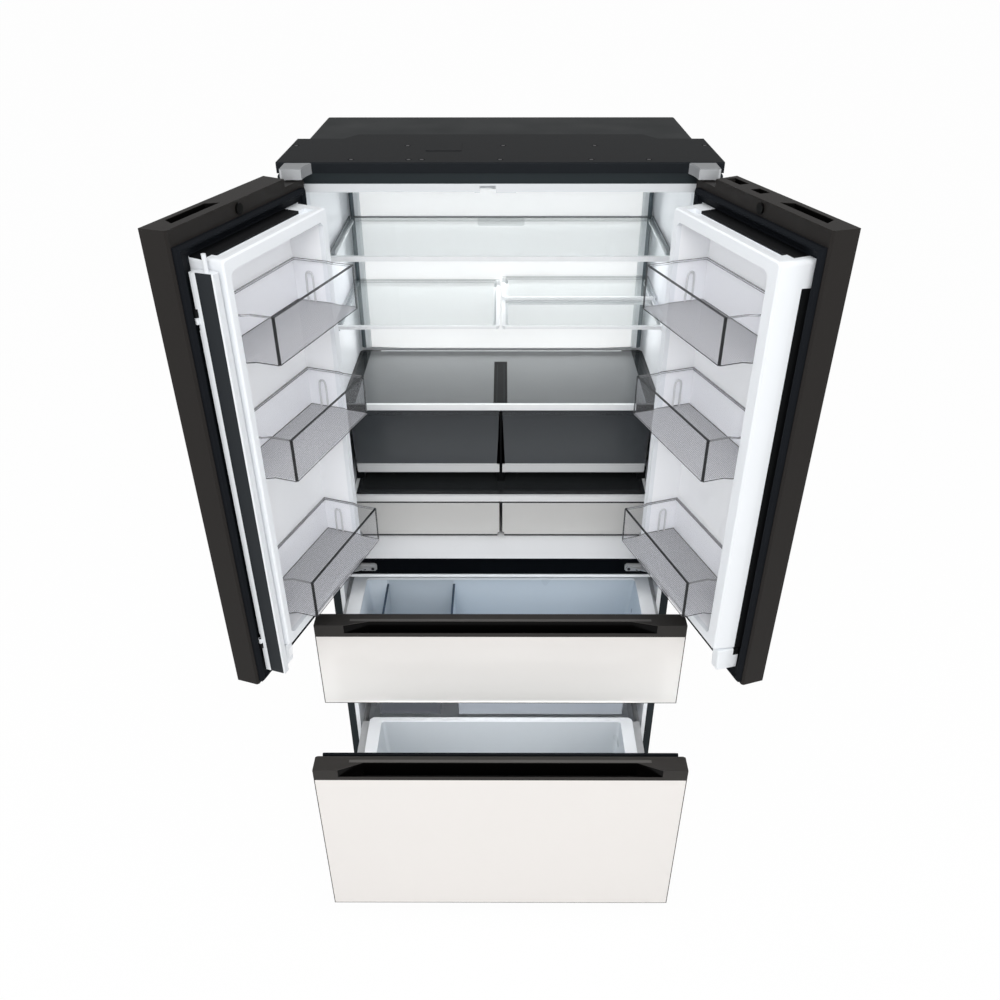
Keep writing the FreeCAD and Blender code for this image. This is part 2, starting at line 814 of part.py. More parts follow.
def upper_hinge_brackets():
    low = DOOR_TOP - STEP_DROP - PIN_DROP + EDGE_GAP
    pin = cylinder(PIN_RADIUS, (-HINGE_X, HINGE_Y, low), UP, ROOF_HEIGHT - low)
    return pair(joined([bracket_arm(0), pin]))


def cap_plan(inset):
    """Left cap outline with its inner side bowed."""
    outer = -CAP_OUTER + inset
    front = -CAP_FRONT + inset
    back = -CAP_BACK
    start = V(-CAP_FRONT_INNER - inset, front, 0)
    end = V(-CAP_BACK_INNER - inset, back, 0)
    middle = (start + end) / 2 - V(CAP_BULGE, 0, 0)
    corner = CAP_OUTER - CAP_FRONT_OUTER
    path = [V(outer, back, 0), V(outer, front + corner, 0), V(outer + corner, front, 0), start]
    edges = [Part.makeLine(a, b) for a, b in zip(path, path[1:])]
    edges.append(Part.Arc(start, middle, end).toShape())
    edges.append(Part.makeLine(end, path[0]))
    return Part.Face(Part.Wire(edges))


def hinge_caps():
    body = cap_plan(0).extrude(V(0, 0, CAP_TOP - CAP_BOTTOM))
    body.translate(V(0, 0, CAP_BOTTOM))
    brim = [
        edge for edge in body.Edges
        if all(v.Z > CAP_TOP - CAP_WALL for v in edge.Vertexes) and edge.CenterOfMass.y < -CAP_BACK - EDGE_GAP
    ]
    body = body.makeChamfer(CAP_WALL, brim)
    hollow = cap_plan(CAP_WALL).extrude(V(0, 0, CAP_TOP - CAP_WALL - CAP_BOTTOM + CUT))
    hollow.translate(V(0, 0, CAP_BOTTOM - CUT))
    return pair(less(body, [hollow, bracket_arm(RUNNING)]))


def lower_hinge_brackets():
    arm_bottom = LOWER_ARM_TOP - LOWER_ARM_THICK
    plate = box(
        -LOWER_PLATE_OUTER, -LOWER_PLATE_INNER, -LOWER_PLATE_THICK, 0, LOWER_PLATE_BOTTOM, LOWER_PLATE_TOP
    )
    plate = plate.makeChamfer(LOWER_PLATE_THICK, edges_at(plate, INWARD, lambda p: True))
    plan = [
        (-LOWER_PLATE_INNER - LOWER_PLATE_THICK, 0),
        (-LOWER_PLATE_INNER - LOWER_PLATE_THICK, -LOWER_PLATE_THICK),
        (-HINGE_X + BRACKET_ARM_HALF, HINGE_Y - BRACKET_ARM_HALF),
        (-HINGE_X - BRACKET_ARM_HALF, HINGE_Y - BRACKET_ARM_HALF),
        (-HINGE_X - BRACKET_ARM_HALF, HINGE_Y),
        (-LOWER_PLATE_OUTER - LOWER_ARM_REACH, 0),
    ]
    arm = prism(plan, arm_bottom, LOWER_ARM_TOP)
    pin = cylinder(PIN_RADIUS, (-HINGE_X, HINGE_Y, arm_bottom), UP, LOWER_ARM_THICK + PIN_DROP)
    return pair(joined([plate, arm, pin]))


def screws():
    heads = []
    for x, y in screw_places():
        heads.append(hexagon(SCREW_HEAD, (x, y, COVER_TOP - SCREW_RECESS_DEPTH), UP, SCREW_HEAD_HEIGHT))
    plate_middle = (LOWER_PLATE_INNER + LOWER_PLATE_OUTER) / 2
    spread = (LOWER_PLATE_OUTER - LOWER_PLATE_INNER) / 4
    height = (LOWER_PLATE_BOTTOM + LOWER_ARM_TOP - LOWER_ARM_THICK) / 2
    for side in (-1, 1):
        for shift in (-spread, spread):
            start = (side * (plate_middle + shift), -LOWER_PLATE_THICK - SCREW_HEAD_HEIGHT, height)
            heads.append(hexagon(SCREW_HEAD, start, INWARD, SCREW_HEAD_HEIGHT))
    return Part.makeCompound(heads)


def guide_block(grow):
    return box(GUIDE_LEFT - grow, GUIDE_RIGHT + grow, 0, GUIDE_DEPTH, GUIDE_BOTTOM, GUIDE_TOP)


def mullion_guide():
    """Ceiling block whose pocket turns the mullion as its pin comes in at the mouth."""
    roof = GUIDE_TOP - GUIDE_CROWN
    pocket = prism(
        [
            (GUIDE_MOUTH_LEFT, -CUT),
            (GUIDE_MOUTH_RIGHT, -CUT),
            (GUIDE_MOUTH_RIGHT, GUIDE_POCKET_FRONT),
            (GUIDE_POCKET_RIGHT, GUIDE_POCKET_FRONT),
            (GUIDE_POCKET_RIGHT, GUIDE_POCKET_BACK / 2),
            (GUIDE_MOUTH_LEFT / 2, GUIDE_POCKET_BACK),
            (GUIDE_POCKET_LEFT, GUIDE_POCKET_BACK),
            (GUIDE_POCKET_LEFT, GUIDE_POCKET_FRONT),
            (GUIDE_MOUTH_LEFT, GUIDE_POCKET_FRONT),
        ],
        GUIDE_BOTTOM - CUT, roof,
    )
    return less(guide_block(0), [pocket])


# Doors


def door_x(u):
    return -HINGE_X + u


def door_y(v):
    return HINGE_Y + v


def door_box(u0, u1, v0, v1, z0, z1):
    """Block in the left door's own directions, door closed."""
    return box(door_x(u0), door_x(u1), door_y(v0), door_y(v1), z0, z1)


def door_prism(points, z0, z1):
    return prism([(door_x(u), door_y(v)) for u, v in points], z0, z1)


def door_frame(right):
    back = DOOR_BACK
    edge = -DOOR_HINGE_EDGE
    body = door_box(edge, DOOR_FREE_EDGE, -DOOR_FRONT, back, DOOR_BOTTOM, DOOR_TOP)
    body = eased(body, DOOR_CORNER, lambda p: p.y > HINGE_Y)
    pane = door_box(
        edge + GLASS_EDGE, DOOR_FREE_EDGE - GLASS_EDGE, -DOOR_FRONT - CUT, -DOOR_FRONT + GLASS,
        DOOR_BOTTOM + GLASS_EDGE, DOOR_TOP - STEP_DROP - GLASS_EDGE,
    )
    hollow = door_box(
        edge + DOOR_SIDE_RAIL, DOOR_FREE_EDGE - DOOR_SIDE_RAIL, -DOOR_FRONT - CUT, back + CUT,
        DOOR_BOTTOM + DOOR_BOTTOM_RAIL, DOOR_TOP - DOOR_TOP_RAIL,
    )
    step = door_prism(
        [(edge - CUT, -DOOR_FRONT - CUT), (STEP_U, -DOOR_FRONT - CUT), (STEP_U, -DOOR_FRONT),
         (STEP_U + STEP_RAKE, back), (STEP_U + STEP_RAKE, back + CUT), (edge - CUT, back + CUT)],
        DOOR_TOP - STEP_DROP, DOOR_TOP + CUT,
    )
    slot_v = HANDLE_SLOT_WIDTH / 2
    slot_end = HANDLE_SLOT_START + HANDLE_SLOT_LENGTH
    slot = door_prism(
        [(HANDLE_SLOT_START + HANDLE_SLOT_RAKE, -slot_v), (slot_end - HANDLE_SLOT_RAKE, -slot_v),
         (slot_end, slot_v), (HANDLE_SLOT_START, slot_v)],
        DOOR_TOP - HANDLE_SLOT_DEPTH, DOOR_TOP + CUT,
    )
    bore = PIN_RADIUS + PIN_CLEARANCE
    low_bore = cylinder(bore, (-HINGE_X, HINGE_Y, DOOR_BOTTOM - CUT), UP, CUT + PIN_DROP)
    high_bore = cylinder(
        bore, (-HINGE_X, HINGE_Y, DOOR_TOP - STEP_DROP - PIN_DROP), UP, PIN_DROP + CUT
    )
    tools = [pane, hollow, step, slot, low_bore, high_bore]
    if right:
        for start, end in zip(SMALL_POCKET_STARTS, SMALL_POCKET_ENDS):
            tools.append(door_box(
                start, end, -SMALL_POCKET_WIDTH / 2, SMALL_POCKET_WIDTH / 2,
                DOOR_TOP - SMALL_POCKET_DEPTH, DOOR_TOP + CUT,
            ))
    frame = less(body, tools)
    knob_z = DOOR_TOP - PLUG_DROP - PLUG_RADIUS / 2
    knob = cylinder(PLUG_RADIUS, (door_x(PLUG_U), door_y(back), knob_z), INWARD, PLUG_HEIGHT)
    return frame.fuse(knob).removeSplitter()


def door_glass():
    return door_box(
        -DOOR_HINGE_EDGE + GLASS_EDGE, DOOR_FREE_EDGE - GLASS_EDGE, -DOOR_FRONT, -DOOR_FRONT + GLASS,
        DOOR_BOTTOM + GLASS_EDGE, DOOR_TOP - STEP_DROP - GLASS_EDGE,
    )


def rim_solid(free_side, free_draft):
    """Raised rim of the door liner: drafted outside, open pocket inside."""
    base = DOOR_BACK - LINER_FLANGE

    def outline(v, draw, free_draw):
        y = door_y(v)
        return [
            (door_x(RIM_HINGE_SIDE + draw), y, RIM_BOTTOM + draw),
            (door_x(free_side - free_draw), y, RIM_BOTTOM + draw),
            (door_x(free_side - free_draw), y, RIM_TOP - draw),
            (door_x(RIM_HINGE_SIDE + draw), y, RIM_TOP - draw),
        ]

    hull = frustum(outline(base, 0, 0), outline(RIM_CREST, RIM_DRAFT, free_draft))
    low = door_y(base) + EDGE_GAP
    high = door_y(RIM_CREST) - EDGE_GAP
    corners = [e for e in hull.Edges if low < e.CenterOfMass.y < high]
    hull = hull.makeFillet(RIM_ROUND, corners)
    crest = [e for e in hull.Edges if min(v.Y for v in e.Vertexes) > high]
    return hull.makeChamfer(RIM_ROUND / 3, crest)


def rim_pocket():
    floor = LINER_FLOOR
    mouth = RIM_CREST + CUT

    def outline(v, draw):
        y = door_y(v)
        return [
            (door_x(RIM_INNER_HINGE + draw), y, RIM_INNER_BOTTOM + draw),
            (door_x(RIM_INNER_FREE - draw), y, RIM_INNER_BOTTOM + draw),
            (door_x(RIM_INNER_FREE - draw), y, RIM_INNER_TOP - draw),
            (door_x(RIM_INNER_HINGE + draw), y, RIM_INNER_TOP - draw),
        ]

    pocket = frustum(outline(floor, RIM_DRAFT / 3), outline(mouth, 0))
    walls = [e for e in pocket.Edges if door_y(floor) + EDGE_GAP < e.CenterOfMass.y < door_y(mouth) - EDGE_GAP]
    return pocket.makeChamfer(RIM_ROUND, walls)


def door_liner(right):
    free_side = RIM_FREE_SIDE_RIGHT if right else RIM_FREE_SIDE_LEFT
    draft = RIM_FREE_DRAFT_RIGHT if right else RIM_DRAFT
    base = DOOR_BACK - LINER_FLANGE
    inner_edge = -DOOR_HINGE_EDGE + DOOR_SIDE_RAIL
    outer_edge = DOOR_FREE_EDGE - DOOR_SIDE_RAIL
    low = DOOR_BOTTOM + DOOR_BOTTOM_RAIL
    high = DOOR_TOP - DOOR_TOP_RAIL
    flange = door_box(inner_edge, outer_edge, base, DOOR_BACK, low, high)
    well = door_box(
        RIM_HINGE_SIDE, free_side, LINER_FLOOR - LINER_FLANGE, base, RIM_BOTTOM, RIM_TOP
    )
    body = joined([flange, well, rim_solid(free_side, draft)])
    seam = RIM_TOP - STRIP_DROP
    strip_back = RIM_CREST - STRIP_SETBACK
    strip = door_box(STRIP_START, STRIP_END, strip_back - STRIP_WIDTH, strip_back, seam, RIM_TOP + CUT)
    tools = [rim_pocket(), strip]
    if not right:
        tools.append(mullion_sweep_room())
    return less(body, tools).removeSplitter()


def mullion_sweep_room():
    """Clears the liner flange where the mullion's pivot edge turns."""
    reach = MULLION_DEPTH + MULLION_SKIN + RUNNING
    start = (door_x(MULLION_PIVOT_U), door_y(MULLION_PIVOT_V), MULLION_BOTTOM - reach)
    return cylinder(MULLION_EAR_RADIUS + RUNNING, start, UP, MULLION_TOP - MULLION_BOTTOM + 2 * reach)


def ring(x0, x1, y0, y1, z0, z1, width, crest):
    """Upright gasket ring with its crest bevelled on both sides."""
    body = box(x0, x1, y0, y1, z0, z1)
    body = less(body, [box(x0 + width, x1 - width, y0 - CUT, y1 + CUT, z0 + width, z1 - width)])
    edges = [e for e in body.Edges if min(v.Y for v in e.Vertexes) > y1 - EDGE_GAP]
    return body.makeChamfer(crest, edges)


def door_gasket():
    return ring(
        door_x(GASKET_HINGE_OUTER), door_x(GASKET_FREE_OUTER), door_y(DOOR_BACK), door_y(GASKET_FACE),
        GASKET_FOOT, GASKET_TOP, GASKET_WIDTH, GASKET_BEVEL,
    )


def bin_plan(inset, back):
    """Plan of a bin: its sides step in at the neck, towards the front."""
    near = BIN_SIDE_NEAR + inset
    far = BIN_SIDE_FAR - inset
    front_near = BIN_FRONT_NEAR + inset
    front_far = BIN_FRONT_FAR - inset
    front = BIN_FRONT - inset
    shoulder = BIN_NECK + BIN_NECK_RUN
    return [
        (near, BIN_BACK + back), (far, BIN_BACK + back), (far, BIN_NECK), (front_far, shoulder),
        (front_far, front), (front_near, front), (front_near, shoulder), (near, BIN_NECK),
    ]


def door_bin(floor):
    """Bin with a lip round its rim."""
    top = floor + BIN_HEIGHT
    lip = BIN_WALL * 2
    outside = door_prism(bin_plan(0, 0), floor, top)
    outside = eased(outside, BIN_ROUND, lambda p: p.y > door_y(BIN_FRONT) - BIN_ROUND)
    inside = door_prism(bin_plan(BIN_WALL, BIN_WALL), floor + BIN_WALL, top - BIN_LIP)
    mouth = door_prism(bin_plan(lip, lip), top - BIN_LIP - CUT, top + CUT)
    return less(outside, [inside, mouth]).removeSplitter()


def door_bins():
    return Part.makeCompound([door_bin(floor) for floor in BIN_FLOORS])


def mullion_box(a0, a1, b0, b1, z0, z1):
    """Block beside the mullion's pivot: a away from the pivot towards the hinge, b inwards."""
    u = MULLION_PIVOT_U
    v = MULLION_PIVOT_V
    return door_box(u - a1, u - a0, v + b0, v + b1, z0, z1)


def mullion_ears():
    """Height and direction of each pivot: the knuckle lies towards the middle of the bar."""
    height = MULLION_TOP - MULLION_BOTTOM
    heights = [MULLION_BOTTOM + height * share for share in MULLION_EAR_SHARES]
    return [(heights[0], 1), (heights[1], -1)]


def mullion_bracket_parts():
    """Ears on the door liner, each with a pin that the mullion turns on."""
    shapes = []
    pivot_x = door_x(MULLION_PIVOT_U)
    pivot_y = door_y(MULLION_PIVOT_V)
    reach = MULLION_EAR_RADIUS - RUNNING
    for z, side in mullion_ears():
        low = z - MULLION_EAR_HEIGHT / 2
        shapes.append(cylinder(reach, (pivot_x, pivot_y, low), UP, MULLION_EAR_HEIGHT))
        shapes.append(door_box(
            MULLION_PIVOT_U - reach, MULLION_PIVOT_U + reach, DOOR_BACK, MULLION_PIVOT_V, low,
            low + MULLION_EAR_HEIGHT,
        ))
        shapes.append(cylinder(
            MULLION_PIN_RADIUS, (pivot_x, pivot_y, z), UP * side, (MULLION_EAR_HEIGHT + MULLION_KNUCKLE) / 2
        ))
    return shapes


def mullion_body():
    """Bar that turns on two knuckles, with the guide pin on its top end."""
    near = MULLION_SKIN + MULLION_PLATE
    deep = MULLION_SKIN + MULLION_DEPTH
    edge = MULLION_PLATE_EDGE
    bar = mullion_box(near, deep, 0, MULLION_WIDTH, MULLION_BOTTOM, MULLION_TOP)
    bar = eased(bar, MULLION_EAR_RADIUS, lambda p: p.x < door_x(MULLION_PIVOT_U) - MULLION_DEPTH / 2)
    shapes = [
        bar, mullion_box(MULLION_SKIN, near, 0, edge, MULLION_BOTTOM, MULLION_TOP),
        mullion_box(MULLION_SKIN, near, MULLION_WIDTH - edge, MULLION_WIDTH, MULLION_BOTTOM, MULLION_TOP),
    ]
    gaps = []
    pivot_x = door_x(MULLION_PIVOT_U)
    pivot_y = door_y(MULLION_PIVOT_V)
    length = MULLION_KNUCKLE / 2 - RUNNING
    for z, side in mullion_ears():
        start = z + side * (MULLION_EAR_HEIGHT / 2 + RUNNING)
        low = min(start, start + side * length)
        shapes.append(cylinder(MULLION_EAR_RADIUS, (pivot_x, pivot_y, low), UP, length))
        shapes.append(mullion_box(0, near, 0, MULLION_EAR_RADIUS, low, low + length))
        gaps.append(cylinder(
            MULLION_EAR_RADIUS + RUNNING, (pivot_x, pivot_y, z - MULLION_EAR_HEIGHT / 2 - RUNNING), UP,
            MULLION_EAR_HEIGHT + 2 * RUNNING,
        ))
        gaps.append(cylinder(
            MULLION_PIN_RADIUS + PIN_CLEARANCE, (pivot_x, pivot_y, z), UP * side,
            MULLION_EAR_HEIGHT / 2 + MULLION_KNUCKLE,
        ))
    pin_x = pivot_x - GUIDE_PIN_INSET
    pin_y = pivot_y + GUIDE_PIN_OUT
    shapes.append(cylinder(GUIDE_PIN_RADIUS, (pin_x, pin_y, MULLION_TOP), UP, GUIDE_PIN_TOP - MULLION_TOP))
    return less(joined(shapes), gaps)


def mullion_plate():
    near = MULLION_SKIN
    edge = MULLION_PLATE_EDGE
    return mullion_box(near, near + MULLION_PLATE, edge, MULLION_WIDTH - edge, MULLION_BOTTOM, MULLION_TOP)


def open_left(shape):
    """Carries a left door piece from closed to its rest angle."""
    turned = shape.copy()
    turned.rotate(V(-HINGE_X, HINGE_Y, 0), UP, -REST_ANGLE)
    return turned


def open_right(shape):
    return mirrored(open_left(shape))


# Shelves and what stands on the back wall


def shelf_plan(left, right, front, back, inset=0):
    """Four-cornered plan; a side given as None follows the tapering wall."""
    def side(value, sign, y):
        return sign * (wall_half(y) - EDGE_GAP) if value is None else value
    return [
        (side(left, -1, front) + inset, front + inset),
        (side(right, 1, front) - inset, front + inset),
        (side(right, 1, back) - inset, back - inset),
        (side(left, -1, back) + inset, back - inset),
    ]


def shelf_slab(left, right, front, back, inset, z0, z1, corner):
    return eased(prism(shelf_plan(left, right, front, back, inset), z0, z1), corner)


def shelf_frame(left, right, front, back, top, height):
    """Ring with a seat for its pane."""
    ring_body = shelf_slab(left, right, front, back, 0, top - height, top, SHELF_CORNER)
    light = shelf_slab(left, right, front, back, SHELF_RING, top - height - CUT, top + CUT, SHELF_CORNER / 2)
    seat = shelf_slab(left, right, front, back, SHELF_SEAT, top - SHELF_GLASS, top + CUT, SHELF_CORNER / 2)
    return less(ring_body, [light, seat])


def shelf_pane(left, right, front, back, top):
    return shelf_slab(left, right, front, back, SHELF_SEAT, top - SHELF_GLASS, top, SHELF_CORNER / 2)


TOP_SHELF = (None, None, SHELF_FRONT, SHELF_BACK, TOP_SHELF_TOP)
LEFT_SHELF = (None, -SHELF_SPLIT_HALF, SHELF_FRONT, SHELF_BACK, MIDDLE_SHELF_TOP)
REAR_SHELF = (
    SHELF_SPLIT_HALF, None, SHELF_SEAM - SHELF_SEAM_OVERLAP, SHELF_BACK, MIDDLE_SHELF_TOP + REAR_SHELF_LIFT
)
COVER_SHELF = (None, None, SHELF_FRONT, SHELF_BACK, COVER_SHELF_TOP)
PANTRY_SHELF = (-PANTRY_COVER_HALF, PANTRY_COVER_HALF, PANTRY_FRONT, SHELF_BACK, PANTRY_COVER_TOP)
SLIDE_SHELF = (
    SHELF_SPLIT_HALF, WALL_BACK_HALF - SLIDE_SHELF_INSET, SHELF_FRONT, SHELF_SEAM, MIDDLE_SHELF_TOP
)


def shelf_frames():
    return Part.makeCompound([
        shelf_frame(*TOP_SHELF, SHELF_FRAME),
        shelf_frame(*LEFT_SHELF, MIDDLE_SHELF_FRAME),
        shelf_frame(*REAR_SHELF, MIDDLE_SHELF_FRAME),
        shelf_frame(*COVER_SHELF, COVER_SHELF_FRAME),
        shelf_frame(*PANTRY_SHELF, PANTRY_COVER_FRAME),
    ])


def shelf_glass():
    return Part.makeCompound([shelf_pane(*TOP_SHELF), shelf_pane(*LEFT_SHELF), shelf_pane(*REAR_SHELF)])


def drawer_cover_glass():
    return Part.makeCompound([shelf_pane(*COVER_SHELF), shelf_pane(*PANTRY_SHELF)])


def light_panel():
    """Lit panel with bevelled sides and the brace under the middle shelves."""
    def outline(half, z):
        bevel = half - PANEL_BEVEL
        return [
            (-half, FRESH_BACK, z), (-half, PANEL_EDGE, z), (-bevel, PANEL_CROWN, z), (bevel, PANEL_CROWN, z),
            (half, PANEL_EDGE, z), (half, FRESH_BACK, z),
        ]
    panel = frustum(outline(PANEL_FOOT_HALF, PANEL_FOOT), outline(PANEL_TOP_HALF, FRESH_CEILING))
    brace_top = MIDDLE_SHELF_TOP - MIDDLE_SHELF_FRAME - RUNNING
    root = PANEL_CROWN + EDGE_GAP
    tip = PANEL_CROWN - SUPPORT_REACH
    brace = profile_yz(
        [
            (root, brace_top - SUPPORT_HEIGHT), (root, brace_top), (tip, brace_top),
            (tip, brace_top - SUPPORT_HEIGHT / 4),
        ],
        -SUPPORT_HALF, SUPPORT_HALF,
    )
    return panel.fuse(brace).removeSplitter()


def air_duct_trims():
    """Strips beside the lit panel, the filter cover on it and the duct behind the crispers."""
    trim = profile_xz(
        [
            (PANEL_FOOT_HALF, PANEL_FOOT), (TRIM_FOOT_OUTER, PANEL_FOOT), (TRIM_TOP_OUTER, FRESH_CEILING),
            (PANEL_TOP_HALF, FRESH_CEILING),
        ],
        TRIM_CROWN, FRESH_BACK,
    )
    near = [e for e in trim.Edges if max(v.Y for v in e.Vertexes) < TRIM_CROWN + EDGE_GAP]
    brim = [e for e in near if e.Length > FRESH_CEILING - COVER_SHELF_TOP - CUT * 2]
    trim = trim.makeChamfer(TRIM_EASE, brim).common(fresh_block(0))
    filter_cover = box(
        -FILTER_HALF, FILTER_HALF, PANEL_CROWN - FILTER_THICK, PANEL_CROWN + FILTER_THICK, FILTER_BOTTOM,
        FILTER_TOP,
    )
    filter_cover = filter_cover.makeChamfer(FILTER_CORNER, edges_at(filter_cover, INWARD, lambda p: True))
    filter_cover = less(filter_cover, [light_panel()])
    tower = box(-TOWER_HALF, TOWER_HALF, TOWER_FRONT, FRESH_BACK, TOWER_BOTTOM, TOWER_TOP)
    tower = rounded(tower, TOWER_HALF / 2, lambda p: p.y < TOWER_FRONT + EDGE_GAP)
    return Part.makeCompound([trim, mirrored(trim), filter_cover, tower])


# Crispers, pantry drawers and their runners


def tub(x0, x1, y0, y1, z0, z1, wall, lean, corner, ease):
    """Open-topped bin whose walls draw in towards the floor by lean."""
    def outline(inset, draw, z):
        return [
            (x0 + inset + draw, y0 + inset, z), (x1 - inset - draw, y0 + inset, z),
            (x1 - inset - draw, y1 - inset - draw, z), (x0 + inset + draw, y1 - inset - draw, z),
        ]
    body = frustum(outline(0, lean, z0), outline(0, 0, z1))
    body = ease(body, corner, lambda p: p.y > (y0 + y1) / 2)
    depth = z1 - z0
    floor_share = wall / depth
    over = CUT / depth
    hollow = frustum(
        outline(wall, lean * (1 - floor_share), z0 + wall),
        outline(wall, -lean * over, z1 + CUT),
    )
    hollow = ease(hollow, corner - wall, lambda p: p.y > (y0 + y1) / 2)
    return body, hollow


def crisper(left):
    inner = CRISPER_MIDDLE_GAP
    x0, x1 = (-CRISPER_OUTER, -inner) if left else (inner, CRISPER_OUTER)
    body, hollow = tub(
        x0, x1, CRISPER_FRONT, CRISPER_BACK, CRISPER_BOTTOM, CRISPER_TOP, CRISPER_WALL, CRISPER_LEAN,
        DRAWER_ROUND, eased,
    )
    trim_x0 = max(x0, -CRISPER_TRIM_END)
    trim_x1 = min(x1, CRISPER_TRIM_END)
    front = CRISPER_FRONT
    top = CRISPER_BOTTOM + CRISPER_TRIM_HEIGHT
    trim = profile_yz(
        [
            (front + CRISPER_WALL / 2, CRISPER_BOTTOM),
            (front + CRISPER_WALL / 2, top),
            (front - CRISPER_TRIM_OUT / 2, top),
            (front - CRISPER_TRIM_OUT, CRISPER_BOTTOM + CRISPER_WALL),
            (front - CRISPER_TRIM_OUT, CRISPER_BOTTOM),
        ],
        trim_x0, trim_x1,
    )
    return less(body, [hollow]).fuse(trim).removeSplitter()


def pantry(left):
    inner = PANTRY_MIDDLE_GAP
    x0, x1 = (-PANTRY_OUTER, -inner) if left else (inner, PANTRY_OUTER)
    body, hollow = tub(
        x0 + PANTRY_FACE / 2, x1 - PANTRY_FACE / 2, PANTRY_FRONT + PANTRY_FACE, CRISPER_BACK,
        FRESH_FLOOR + RUNNING, PANTRY_TOP - PANTRY_REBATE, PANTRY_WALL, PANTRY_FACE, DRAWER_ROUND, eased,
    )
    plate = box(x0, x1, PANTRY_FRONT, PANTRY_FRONT + PANTRY_FACE, PANTRY_BOTTOM, PANTRY_TOP)
    front_edges = edges_at(plate, ACROSS, lambda p: p.y < PANTRY_FRONT + EDGE_GAP)
    plate = plate.makeChamfer(PANTRY_FACE / 3, front_edges)
    return less(body, [hollow]).fuse(plate).removeSplitter()


def drawer_runners():
    floor = PANTRY_COVER_TOP
    seat = CRISPER_BOTTOM - RUNNING
    front = CRISPER_FRONT + LEDGE_SETBACK
    web_top = COVER_SHELF_TOP - COVER_SHELF_FRAME
    sides = both(RUNNER_INNER, RUNNER_OUTER, front, CRISPER_BACK, floor, seat)
    nose = box(-RUNNER_NOSE_HALF, RUNNER_NOSE_HALF, CRISPER_FRONT, CRISPER_BACK, floor, seat)
    nose = rounded(nose, RUNNER_NOSE_HALF / 2, lambda p: p.y < front)
    low = seat - EDGE_GAP
    web = box(-DIVIDER_HALF, DIVIDER_HALF, CRISPER_FRONT + DIVIDER_HALF, CRISPER_BACK, low, web_top)
    beam = joined([nose, web])
    return Part.makeCompound(sides + [beam] + tray_runners())


def tray_runners():
    """Rails under the rims of the freezer trays: on both walls and on a middle beam."""
    ledge_top = TRAY_TOP - TRAY_RIM_THICK - RUNNING
    ledge_low = ledge_top - TRAY_RUNNER_THICK
    back = EVAPORATOR_COVER_FRONT
    wall = FRESH_HALF
    shapes = []
    for outer, side in ((LEFT_TRAY_OUTER, -1), (RIGHT_TRAY_OUTER, 1)):
        inner = abs(outer) + EDGE_GAP
        rib = [
            (side * inner, ledge_low), (side * inner, ledge_top), (side * wall, ledge_top),
            (side * wall, ledge_low - LEDGE_HEIGHT * 3),
        ]
        shapes.append(profile_xz(rib, TRAY_BEAM_FRONT, TRAY_BACK + TRAY_RIM))
    middle = (LEFT_TRAY_INNER + RIGHT_TRAY_INNER) / 2
    web_half = TRAY_BEAM_HALF / 2
    web = box(middle - web_half, middle + web_half, TRAY_BEAM_FRONT, back, ledge_low, LOWER_RAIL_BOTTOM)
    foot = box(
        LEFT_TRAY_INNER + EDGE_GAP, RIGHT_TRAY_INNER - EDGE_GAP, TRAY_BEAM_FRONT, back, ledge_low, ledge_top
    )
    head = box(
        middle - TRAY_BEAM_HALF * 2, middle + TRAY_BEAM_HALF * 2, RAIL_DEPTH / 2, back,
        LOWER_RAIL_BOTTOM - TRAY_RUNNER_THICK, LOWER_RAIL_BOTTOM,
    )
    shapes.append(joined([web, foot, head]))
    return shapes


# Freezer drawers


def handle_bar(panel_top, top, front_half, back_half, depth):
    """Upper edge of a drawer front: recessed between its shoulders, with a finger groove behind a lip."""
    front = -DRAWER_FRONT
    behind = front + depth
    lip_top = panel_top + LIP_HEIGHT
    scoop = prism(
        [(-front_half, front - CUT), (front_half, front - CUT), (front_half, front), (back_half, behind),
         (-back_half, behind), (-front_half, front)],
        lip_top, top + CUT,
    )
    groove = box(-back_half, back_half, front + LIP_THICK, behind, panel_top - GROOVE_DEPTH, top + CUT)
    return [scoop, groove]


def drawer_front(bottom, panel_top, top, front_half, back_half, depth):
    front = -DRAWER_FRONT
    back = -DRAWER_BACK
    body = box(-DRAWER_HALF, DRAWER_HALF, front, back, bottom, top)
    body = eased(body, BAR_CHAMFER, lambda p: p.y > (front + back) / 2)
    body = body.makeFillet(
        BAR_BACK_DROP, edges_at(body, ACROSS, lambda p: p.z > top - EDGE_GAP and p.y > back - EDGE_GAP)
    )
    pane_half = DRAWER_HALF - GLASS_EDGE
    pane = box(-pane_half, pane_half, front - CUT, front + GLASS, bottom + GLASS_EDGE, panel_top)
    hollow = box(
        -DRAWER_HALF + DRAWER_RAIL, DRAWER_HALF - DRAWER_RAIL, front - CUT, back - DRAWER_REAR_WALL,
        bottom + DRAWER_RAIL, panel_top - GROOVE_DEPTH - DRAWER_RAIL,
    )
    tools = [pane, hollow] + handle_bar(panel_top, top, front_half, back_half, depth)
    return less(body, tools)


def drawer_panel(bottom, panel_top):
    half = DRAWER_HALF - GLASS_EDGE
    return box(-half, half, -DRAWER_FRONT, -DRAWER_FRONT + GLASS, bottom + GLASS_EDGE, panel_top)


def drawer_gasket(foot, top):
    return ring(
        -DRAWER_GASKET_OUTER, DRAWER_GASKET_OUTER, -DRAWER_BACK, -RUNNING, foot, top, DRAWER_GASKET_WIDTH,
        DRAWER_GASKET_BEVEL,
    )


